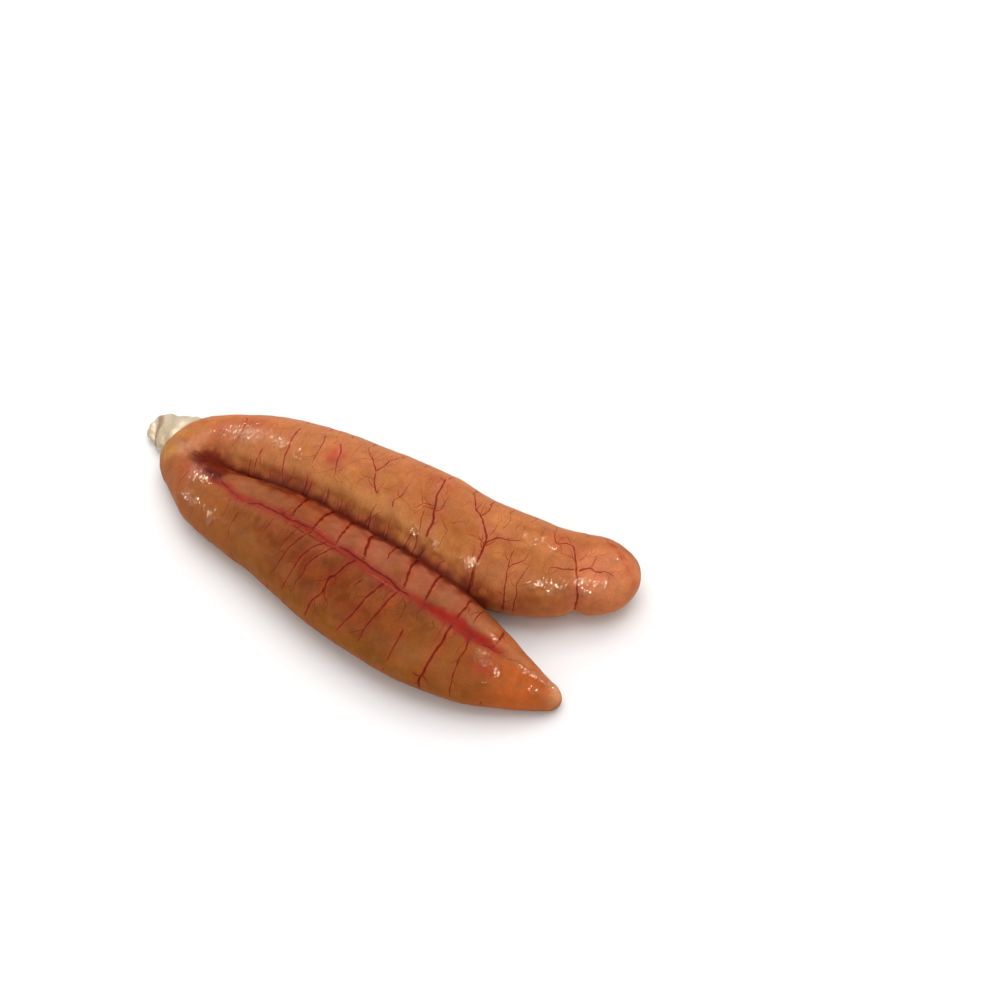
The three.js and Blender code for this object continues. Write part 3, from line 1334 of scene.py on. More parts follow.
@dataclass(frozen=True)
class VesselLayer:
    """The vessels of the lobes as low closed ridges that grow out of the skin."""

    trunk_points: int = 7
    twig_points: int = 5
    edge_depth: float = 0.02
    rise: float = 0.05
    full_rise_half_width: float = 0.35
    root_depth: float = 0.14
    clearance: float = 0.12
    lowest: float = 0.9
    fewest_rings: int = 4
    strength: float = 1.35

    def build(self, sides: tuple[tuple[Lobe, Lobe], ...], shift: np.ndarray) -> bpy.types.Object:
        """Builds the vessels.

        Args:
            sides: Each lobe with the lobe beside it.
            shift: The way from the stations' own axes to the frame's, in millimetres.

        Returns:
            The vessels.
        """
        stores: tuple[list[np.ndarray], ...] = ([], [], [], [])
        faces: list[tuple[int, ...]] = []
        start = 0
        for lobe, branch, run in self.shown_runs(sides):
            rings = self.ridge(lobe, branch, run)
            length, columns = rings[0].shape[:2]
            for store, values in zip(stores, rings):
                flat = values.reshape(length * columns, -1)
                store.append(np.vstack([flat, flat[:columns].mean(axis=0), flat[-columns:].mean(axis=0)]))
            faces.extend(tube_faces(length, columns, start))
            start += length * columns + 2
        points, normals, tones, wets = (np.vstack(store) for store in stores)
        vessels = new_object(Piece.VESSELS.value, (points + shift) * MM, faces)
        vessels.data.normals_split_custom_set_from_vertices(normals.tolist())
        add_values(vessels.data, TONE, tones)
        add_values(vessels.data, WET, wets.ravel())
        vessels.data.materials.append(MembraneFinish(name="blood_vessel", scatter=0.0).build())
        return vessels

    def shown_runs(self, sides: tuple[tuple[Lobe, Lobe], ...]) -> Iterator[tuple[Lobe, Branch, slice]]:
        """Finds the parts of the vessels that lie free.

        Args:
            sides: Each lobe with the lobe beside it.

        Yields:
            A lobe, a vessel of it and the part of that which is clear of the other lobe and the floor.
        """
        for lobe, other in sides:
            middles = [lobe.read(lobe.skin[0], branch.along, branch.turn) for branch in lobe.branches]
            ends = np.cumsum([len(middle) for middle in middles])[:-1]
            gaps = np.split(distance_to(np.vstack(middles), other.skin[0]), ends)
            for branch, middle, gap in zip(lobe.branches, middles, gaps):
                for run in runs_of((gap > self.clearance) & (middle[:, 2] > self.lowest)):
                    if run.stop - run.start >= self.fewest_rings:
                        yield lobe, branch, run

    def ridge(self, lobe: Lobe, branch: Branch, run: slice) -> tuple[np.ndarray, ...]:
        """Makes the rings of one vessel: the top from side to side, then the root below.

        Args:
            lobe: The lobe that it lies on.
            branch: The vessel.
            run: The part of it to make.

        Returns:
            The rings' points, outward directions, colours and wetness.
        """
        along, turn = branch.along[run], branch.turn[run]
        half, blood = branch.half_width[run], branch.blood[run]
        heading, lengthways, around = lobe.course(along, turn)
        across = np.linspace(1.0, -1.0, self.trunk_points if branch.trunk else self.twig_points)
        side = across[None, :] * half[:, None]
        ring_along = along[:, None] + np.sin(heading)[:, None] * side / lengthways[:, None]
        ring_turn = turn[:, None] - np.cos(heading)[:, None] * side / around[:, None]
        layers = (*lobe.skin, lobe.tone, lobe.wetness[..., None])
        top, facing, tone, wet = (lobe.read(layer, ring_along, ring_turn) for layer in layers)
        facing = unit(facing)
        crown = 1 - across[None, :, None] ** 2
        strength = self.strength * blood[:, None, None] * crown
        if branch.tone:
            share = np.clip(strength, 0, 1)
            tone = tone * (1 - share) + branch.tone.linear * share
        else:
            tone = tone * np.exp(-BLOOD * strength)
        full = np.minimum(1, half / self.full_rise_half_width)[:, None, None]
        top_middle = len(across) // 2
        root = (top - facing * self.root_depth)[:, top_middle]
        height = (self.edge_depth + self.rise * full) * crown - self.edge_depth
        below = [values[:, top_middle] for values in (facing, tone, wet)]
        rings = (top + facing * height, facing, tone, wet)
        return tuple(np.concatenate([ring, low[:, None]], axis=1) for ring, low in zip(rings, (root, *below)))


@dataclass
class LobePair:
    """Both lobes with their membrane and vessels."""

    back: Lobe
    front: Lobe
    spots: tuple[Spot, ...] = ()
    merge_from: float = -60.0
    merge_full: float = -73.0
    merge_reach: float = 11.0
    fillet_reach: float = 5.0
    fillet_shares: tuple[float, float] = (2.1, 0.3)
    vessel_layer: VesselLayer = field(default_factory=VesselLayer)

    @property
    def sides(self) -> tuple[tuple[Lobe, Lobe], ...]:
        """Each lobe with the lobe beside it."""
        return (self.back, self.front), (self.front, self.back)

    def merge(self) -> None:
        """Raises each lobe's skin beside the other, so that the two run into each other at the head."""
        bare = {lobe.seed: lobe.surface(*lobe.grid) for lobe in (self.back, self.front)}
        for (lobe, other), share in zip(self.sides, self.fillet_shares):
            points = bare[lobe.seed]
            gap = distance_to(points, bare[other.seed])
            blend = ease(self.merge_from, self.merge_full, points[..., 0])
            reach = self.fillet_reach + (self.merge_reach - self.fillet_reach) * blend
            fill = reach / 4 * np.maximum(0, 1 - np.abs(gap) / reach) ** 2
            lobe.merge_offset = fill * (share + (1 - share) * blend)
        for lobe, other in self.sides:
            lobe.gap = distance_to(lobe.skin[0], other.skin[0])

    def build(self, shift: np.ndarray) -> list[bpy.types.Object]:
        """Builds the lobes and their vessels.

        Args:
            shift: The way from the stations' own axes to the frame's, in millimetres.

        Returns:
            The membrane and the vessels.
        """
        self.merge()
        lobes = (self.back, self.front)
        for lobe in lobes:
            lobe.paint(self.spots)
        shells = [lobe.shell() for lobe in lobes]
        skin = union(*(new_object("lobe", points, faces) for points, faces in shells))
        known = np.vstack([points for points, _ in shells])
        tones = np.vstack([lobe.shell_colours(lobe.tone) for lobe in lobes])
        wets = np.concatenate([np.append(lobe.wetness, (0.0, 0.0)) for lobe in lobes])
        return [self.dress(skin, known, tones, wets, shift), self.vessel_layer.build(self.sides, shift)]

    def dress(self, mesh: bpy.types.Mesh, known: np.ndarray, tones: np.ndarray, wets: np.ndarray,
              shift: np.ndarray) -> bpy.types.Object:
        """Carries the colours over to the joined mesh and puts it in the frame.

        Args:
            mesh: The joined mesh, in millimetres.
            known: The points that the colours belong to.
            tones: Their colours.
            wets: Their wetness.
            shift: The way to the frame's axes.

        Returns:
            The finished object.
        """
        tree = point_tree(known)
        points = np.empty(len(mesh.vertices) * 3)
        mesh.vertices.foreach_get("co", points)
        points = points.reshape(-1, 3)
        source = np.array([tree.find(point)[1] for point in points])
        mesh.name = Piece.LOBES.value
        mesh.materials.clear()
        mesh.vertices.foreach_set("co", ((points + shift) * MM).ravel())
        mesh.polygons.foreach_set("use_smooth", [True] * len(mesh.polygons))
        add_values(mesh, TONE, tones[source])
        add_values(mesh, WET, wets[source])
        mesh.update()
        membrane = bpy.data.objects.new(Piece.LOBES.value, mesh)
        bpy.context.scene.collection.objects.link(membrane)
        membrane.data.materials.append(MembraneFinish().build())
        return membrane


@dataclass
class Stump(SweptBody):
    """The pale stump of the egg duct: a folded flap of membrane at the head."""

    seed: int = 40
    row_step: float = 0.3
    columns: int = 120
    cap_rings: int = 14
    top_density: float = 1.0
    folds: tuple[Ripples, ...] = (Ripples(0.28, 6.0, 0), Ripples(0.04, 2.2, 1))
    pleat_bends: Ripples = Ripples(0.8, 9.0, 2)
    pleat_count: int = 5
    pleat_slant: float = 0.25
    pleat_height: float = 0.13
    pleat_start: tuple[float, float] = (4, 10)
    rosy: Ripples = Ripples(1.0, 8.0, 3)
    strip_at: float = 21.0
    strip_lean: float = 3.3
    strip_half_width: float = 1.3
    strip_height: float = 0.3
    groove_off: float = 2.4
    groove_half_width: float = 0.8
    groove_depth: float = 0.35
    spots: tuple[Spot, ...] = ()

    @property
    def past_strip(self) -> np.ndarray:
        """How far each of the grid's points is past the brown strip of the fold, in millimetres."""
        along, turn = self.grid
        return along - self.strip_at - self.strip_lean * np.cos(turn)

    def relief(self, points: np.ndarray) -> np.ndarray:
        """Gives the folds and creases of the flap.

        Args:
            points: The bare surface's points.

        Returns:
            The height at each, in millimetres.
        """
        along, turn = self.grid
        height = layered(self.folds, points, self.seed)
        bends = self.pleat_bends.at(points, self.seed)
        pleats = np.sin(turn * self.pleat_count + self.pleat_slant * along + bends)
        height += self.pleat_height * pleats * ease(*self.pleat_start, along)
        height += self.strip_height * bell(self.past_strip, self.strip_half_width)
        height -= self.groove_depth * bell(self.past_strip - self.groove_off, self.groove_half_width)
        return height * self.fullness(along) * ease(0.0, 0.5, np.sin(turn) + 0.8)

    def build(self, shift: np.ndarray) -> bpy.types.Object:
        """Builds the stump.

        Args:
            shift: The way from the stations' own axes to the frame's, in millimetres.

        Returns:
            The stump.
        """
        shell, faces = self.shell()
        points = self.skin[0]
        paint = Paint(Tone.CREAM, points.shape)
        paint.lay(Tone.ROSY_CREAM, ease(0.0, 0.8, self.rosy.at(points, self.seed)))
        paint.lay_all(self.spots, points)
        paint.lay(Tone.FOLD, 0.95 * bell(self.past_strip, self.strip_half_width, 4))
        # Painted shade along the stump's low edge by the floor.
        paint.lay(Tone.LOW_EDGE_SHADE, 0.7 * ease(1.3, 0.3, points[..., 2]))
        stump = new_object(Piece.STUMP.value, (shell + shift) * MM, faces)
        add_values(stump.data, TONE, self.shell_colours(paint.colour))
        stump.data.materials.append(DuctFinish().build())
        return stump


@dataclass(frozen=True)
class Lamp:
    """A square soft light that faces the roe: where it hangs, its size in metres and its power.

    A glint lamp is seen in the wet skin's reflections alone.
    """

    name: str
    azimuth: float
    elevation: float
    size: float = 0.26
    watts: float = 26.0
    glint: bool = True


@dataclass
class Studio:
    """The pale floor, the soft lights and the camera."""

    target: tuple[float, float, float] = (29.0, 48.0, 0.0)
    azimuth: float = 28.0
    elevation: float = 55.0
    distance: float = 620.0
    focal_length: float = 64.8
    sensor_width: float = 36.0
    floor_size: float = 6.0
    room_light: float = 0.62
    glint_colour: tuple[float, float, float] = (1.0, 0.82, 0.55)
    lamp_distance: float = 1.6
    lamps: tuple[Lamp, ...] = (
        Lamp("overhead", 200.0, 74.0, 1.5, 18.0, False),
        Lamp("far_left_glint", -131.0, 42.0),
        Lamp("left_glint", -96.0, 43.0),
        Lamp("low_left_glint", -48.0, 23.0),
        Lamp("front_glint", -8.0, 36.0),
        Lamp("low_right_glint", 42.0, 28.0),
        Lamp("right_glint", 73.0, 45.0),
        Lamp("back_glint", 168.0, 52.0),
        Lamp("low_back_glint", 147.0, 25.0),
    )

    def aim(self, azimuth: float, elevation: float) -> Vector:
        """Gives the unit vector that points so many degrees round from the front, and so many up."""
        a, e = math.radians(azimuth), math.radians(elevation)
        return Vector((math.sin(a) * math.cos(e), -math.cos(a) * math.cos(e), math.sin(e)))

    def hang(self, name: str, data: bpy.types.ID, place: Vector, away: Vector) -> bpy.types.Object:
        """Puts a camera or a light in the scene.

        Args:
            name: The object's name.
            data: The camera or the light.
            place: Where it goes.
            away: The direction that it turns its back to.

        Returns:
            The new object.
        """
        thing = bpy.data.objects.new(name, data)
        thing.location = place
        thing.rotation_euler = away.to_track_quat("Z", "Y").to_euler()
        bpy.context.scene.collection.objects.link(thing)
        return thing

    def build_camera(self, shift: np.ndarray) -> None:
        """Sets the camera where the photographer stood.

        Args:
            shift: The way to the frame's axes, in millimetres.
        """
        data = bpy.data.cameras.new("camera")
        data.lens = self.focal_length
        data.sensor_width = self.sensor_width
        target = Vector((np.array(self.target) + shift) * MM)
        away = self.aim(self.azimuth, self.elevation)
        bpy.context.scene.camera = self.hang("camera", data, target + away * self.distance * MM, away)

    def build_floor(self) -> bpy.types.Object:
        """Lays the floor under the roe.

        Returns:
            The floor.
        """
        half = self.floor_size / 2
        corners = np.array([[-half, -half, 0], [half, -half, 0], [half, half, 0], [-half, half, 0]])
        floor = new_object(Piece.FLOOR.value, corners, [(0, 1, 2, 3)])
        floor.data.materials.append(FloorFinish().build())
        return floor

    def build_lamp(self, lamp: Lamp) -> None:
        """Hangs one of the soft lights.

        Args:
            lamp: The light's description.
        """
        data = bpy.data.lights.new(lamp.name, "AREA")
        data.size = lamp.size
        data.energy = lamp.watts
        if lamp.glint:
            data.color = self.glint_colour
        away = self.aim(lamp.azimuth, lamp.elevation)
        light = self.hang(lamp.name, data, away * self.lamp_distance, away)
        light.visible_diffuse = not lamp.glint
        light.visible_glossy = lamp.glint

    def build_lights(self) -> None:
        """Sets the even light of the room and the soft lights."""
        world = bpy.data.worlds.new("room")
        world.use_nodes = True
        background = world.node_tree.nodes["Background"]
        background.inputs["Color"].default_value = (1.0, 1.0, 1.0, 1.0)
        background.inputs["Strength"].default_value = self.room_light
        bpy.context.scene.world = world
        for lamp in self.lamps:
            self.build_lamp(lamp)
        bpy.context.scene.view_settings.view_transform = "Standard"
        bpy.context.scene.view_settings.look = "None"


BACK_LOBE = Lobe(
    stations=(
        Station(-79, 12, 8, 14),
        Station(-64, 17.2, 10.8, 20),
        Station(-44, 21, 13.4, 25.5),
        Station(-22, 22.5, 14.7, 29),
        Station(-2, 22.2, 15.7, 30),
        Station(18, 21.4, 16.6, 30),
        Station(36, 19, 17.3, 29.5),
        Station(54, 21.2, 16.9, 27),
        Station(70.7, 28, 13.4, 24),
        Station(87, 37.6, 11.4, 20.5),
    ),
    head_cap=12,
    tail_cap=13,
    seed=11,
    ground=Tone.TAN,
    pinch_from_tail=22.0,
    pinch_half_length=2.4,
    pinch_depth=0.11,
    seam_reach=1.9,
    seam_stain_and_shade=2.8,
    streak_reach=6.5,
    wrinkled=(
        Patch(25, 84, 12, 20, 0.6),
        Patch(42, 72, 3, 10, 0.6),
        Patch(50, 68, 2, 6, 0.5),
        Patch(100.5, 43, 1.6, 7, 0.9),
        Patch(109.5, 41, 2, 7, 0.7),
        Patch(120.3, 45, 2.2, 12, 0.9),
        Patch(137, 98, 4.5, 10, 0.5),
        Patch(143, 83, 3, 9, 0.5),
        Patch(142, 41, 6, 8, 1),
        Patch(154, 40, 5, 14, 1),
        Patch(163.5, 81, 1.5, 5, 0.8),
    ),
    washes=(
        Wash(70, 116, 70, 20, 0.6, Tone.ROSE),
        # Gold band on the lower flank: partly its own yellow, partly a painted highlight.
        Wash(84, 52, 34, 18, 0.85, Tone.GOLD),
        Wash(104, 78, 24, 22, 0.8, Tone.RUST),
        # A lighter gold patch, partly a painted highlight.
        Wash(96, 42, 12, 8, 0.8, Tone.GOLD),
        Wash(150, 108, 16, 16, 0.6, Tone.RUST),
        Wash(76, 33, 50, 12, 0.45, Tone.MOSS),
        # The next two maroon washes along the low flank are partly blood and partly painted shade from the
        # crease.
        Wash(60, 12, 90, 15, 0.75, Tone.MAROON),
        Wash(47, 30, 7, 12, 0.6, Tone.MAROON),
        Wash(161, 62, 10, 46, 0.85, Tone.BULB),
        Wash(170, 118, 7, 22, 0.8, Tone.MAROON),
        Wash(25, 112, 6, 14, 0.6, Tone.ORANGE),
    ),
    marks=(
        Wash(62.5, 80, 4.0, 15, 0.8, Tone.FLUSH),
        Wash(57.5, 38, 2.5, 8, 0.7, Tone.FLUSH),
        Wash(160, 60, 9, 50, 0.35, Tone.PINK),
        Wash(146, 96, 8, 16, 0.3, Tone.FLUSH),
        Wash(30, 100, 9, 16, 0.4, Tone.FLUSH),
        # Pale pink of the head, partly a painted sheen.
        Wash(28, 76, 10, 12, 0.45, Tone.PALE_ROSE_SHEEN),
        Wash(96, 112, 10, 9, 0.35, Tone.FLUSH),
        Wash(162, 112, 2, 10, 0.6, Tone.FLUSH),
        Wash(165, 93, 1.6, 10, 0.6, Tone.FLUSH),
        Wash(167, 67, 1.6, 12, 0.5, Tone.FLUSH),
        Wash(168.5, 32, 1.6, 12, 0.5, Tone.FLUSH),
        Wash(49, 24, 3.8, 8, 0.75, Tone.CREASE_BLOOD_AND_SHADE),
        Wash(56, 26, 2.6, 9, 0.75, Tone.CREASE_BLOOD_AND_SHADE),
        Wash(83.5, 25, 2.8, 9, 0.75, Tone.CREASE_BLOOD_AND_SHADE),
        Wash(106.5, 24, 2.6, 8, 0.75, Tone.CREASE_BLOOD_AND_SHADE),
        Wash(121.5, 20, 2.6, 9, 0.75, Tone.CREASE_BLOOD_AND_SHADE),
    ),
    vessels=(
        Vessel(((24.5, 118), (26, 103), (26, 78), (24.5, 58), (24, 50)), 0.8, 0.6),
        Vessel(((36, 62), (35, 40), (35, 28), (35, 14)), 0.8, 0.7),
        Vessel(((45.5, 108), (45, 90), (45.5, 66), (45.5, 54), (46.5, 35), (48.5, 22)), 1.0, 0.8, 4),
        Vessel(((36.5, 110), (37.5, 98)), 0.6, 0.5),
        Vessel(((55, 107), (56, 90), (56, 70), (56, 56)), 0.9, 0.6, 3),
        Vessel(((61.5, 100), (63.5, 88), (64, 77), (65, 64), (65.5, 53)), 0.9, 0.75, 4),
        Vessel(((66, 65), (67, 67), (67.5, 76)), 0.5, 0.6, 1),
        Vessel(((56.5, 16), (56.2, 30), (56, 47)), 1.1, 0.8, 1),
        Vessel(((65.5, 8), (65.5, 22), (65, 42)), 1.1, 0.8, 1),
        Vessel(((71.5, 20), (71, 38)), 0.7, 0.7, 1),
        Vessel(((83.5, 12), (83, 24), (82, 40)), 1.3, 0.9, 2),
        Vessel(((89.5, 8), (89, 30)), 1.0, 0.8, 1),
        Vessel(((104.5, 12), (103, 28), (102, 45), (100, 65), (99.5, 75)), 0.9, 0.6, 2),
        Vessel(((107, 12), (106.5, 24), (106, 34)), 1.2, 0.8, 1),
        Vessel(((82, 60), (80.5, 65), (79, 74), (78, 84)), 0.8, 0.8, 1, 0.9),
        Vessel(((78, 83), (76.5, 90), (74.5, 97), (72.5, 102), (70.5, 112), (70, 122)), 0.8, 0.75, 4),
        Vessel(((78, 84), (79, 95), (79.5, 105), (80.5, 115), (81, 124)), 0.8, 0.75, 4),
        Vessel(((82, 60), (82, 66), (82.5, 72), (82.5, 80)), 0.6, 0.6, 1),
        Vessel(((78.5, 74), (76.5, 73), (74.5, 73), (72.5, 75)), 0.5, 0.6, 1),
        Vessel(((89, 54), (88.5, 63), (90, 71), (90.5, 78), (90, 90)), 0.7, 0.7, 4),
        Vessel(((105.5, 44), (105, 58), (103.5, 72), (101, 85), (99.5, 103), (98, 123)), 1.3, 1.0, 6, 0.5),
        Vessel(((103.5, 74), (104.5, 79), (104.5, 84), (103.5, 95), (103.5, 102)), 0.7, 0.7, 2),
        Vessel(((102, 79), (99, 75), (98, 74), (96, 64)), 0.7, 0.7, 2),
        Vessel(((98.5, 99), (96.5, 106)), 0.5, 0.6, 1),
        Vessel(((98, 74), (96, 82), (93.5, 94)), 0.5, 0.6, 1),
        Vessel(
            (
                (122, 46), (122, 57), (122, 69), (121.5, 79), (119.5, 88), (116.5, 98), (113, 106),
                (107.5, 128),
            ),
            1.2, 1.0, 6,
        ),
        Vessel(((122, 2), (121.7, 18), (121.5, 40), (122, 48)), 1.2, 0.9, 1, 0.8),
        Vessel(((116.5, 98), (117.5, 105), (117.5, 115), (116.5, 131)), 0.8, 0.7, 2),
        Vessel(((122, 69), (123, 75), (125, 82), (129, 85), (133, 90)), 0.9, 0.8, 3),
        Vessel(((121, 72), (118, 73), (116, 71)), 0.5, 0.6, 1),
        Vessel(((122.5, 80), (123, 92), (122, 104)), 0.5, 0.6, 2),
        Vessel(((125, 94), (126, 110), (124, 128)), 0.5, 0.6, 1),
        Vessel(((107.5, 70), (109.5, 65), (110.5, 63), (110.5, 42)), 0.5, 0.6, 1),
        Vessel(((110.5, 73), (111.5, 77), (113, 81), (114, 86)), 0.5, 0.6, 1),
        Vessel(((131, -8), (131, 22), (130.5, 55), (130.5, 69), (131, 79)), 0.9, 0.75, 3),
        Vessel(((130.5, 54), (131.5, 59), (134.5, 69), (135.5, 79)), 0.7, 0.7, 2),
        Vessel(((130, 62), (128, 72)), 0.5, 0.6, 1),
        Vessel(((133.5, -6), (134, 23), (134, 40), (135.5, 58), (137, 66)), 0.75, 0.65, 2),
        Vessel(((131, 112), (132, 106), (131, 98)), 0.5, 0.6, 1),
        Vessel(
            ((150.5, 48), (150, 64), (149, 94), (146.5, 100), (144, 96), (143, 100), (142, 124)),
            0.95, 0.85, 5,
        ),
        Vessel(((150, -12), (150.5, 10), (150.5, 23), (150.5, 50)), 1.0, 0.9, 0, 0.9, 0.12),
        Vessel(((149.5, 64), (146.5, 63), (143, 65), (141, 61)), 0.8, 0.75, 3),
        Vessel(((150.5, 62), (153, 65), (154.5, 66), (156, 61), (159, 62), (162, 53)), 0.9, 0.8, 3),
        Vessel(((154.5, 68), (155.5, 74), (157, 88)), 0.6, 0.65, 2),
        Vessel(((151, 76), (154, 90)), 0.5, 0.6, 1),
        Vessel(((164.5, 95), (165.5, 72)), 0.5, 0.6, 1),
        Vessel(((160, 118), (164, 108), (167, 90)), 0.6, 0.5, 2),
    ),
    rows=(
        VesselRow(
            (10, 25, 36, 45.5, 54.5, 62, 70, 81, 90, 98, 107.5, 116.5, 125, 133, 142, 153, 161), 122, 206
        ),
        VesselRow(tuple(range(31, 128, 3)), 12, 40, 0.55, 0.4, 0, 1.0),
        VesselRow(tuple(range(34, 126, 8)), 12, 50, 0.9, 0.6, 0, 1.0),
        VesselRow(tuple(range(60, 150, 7)), 96, 122, 0.4, 0.5, 1, 2.0),
    ),
)
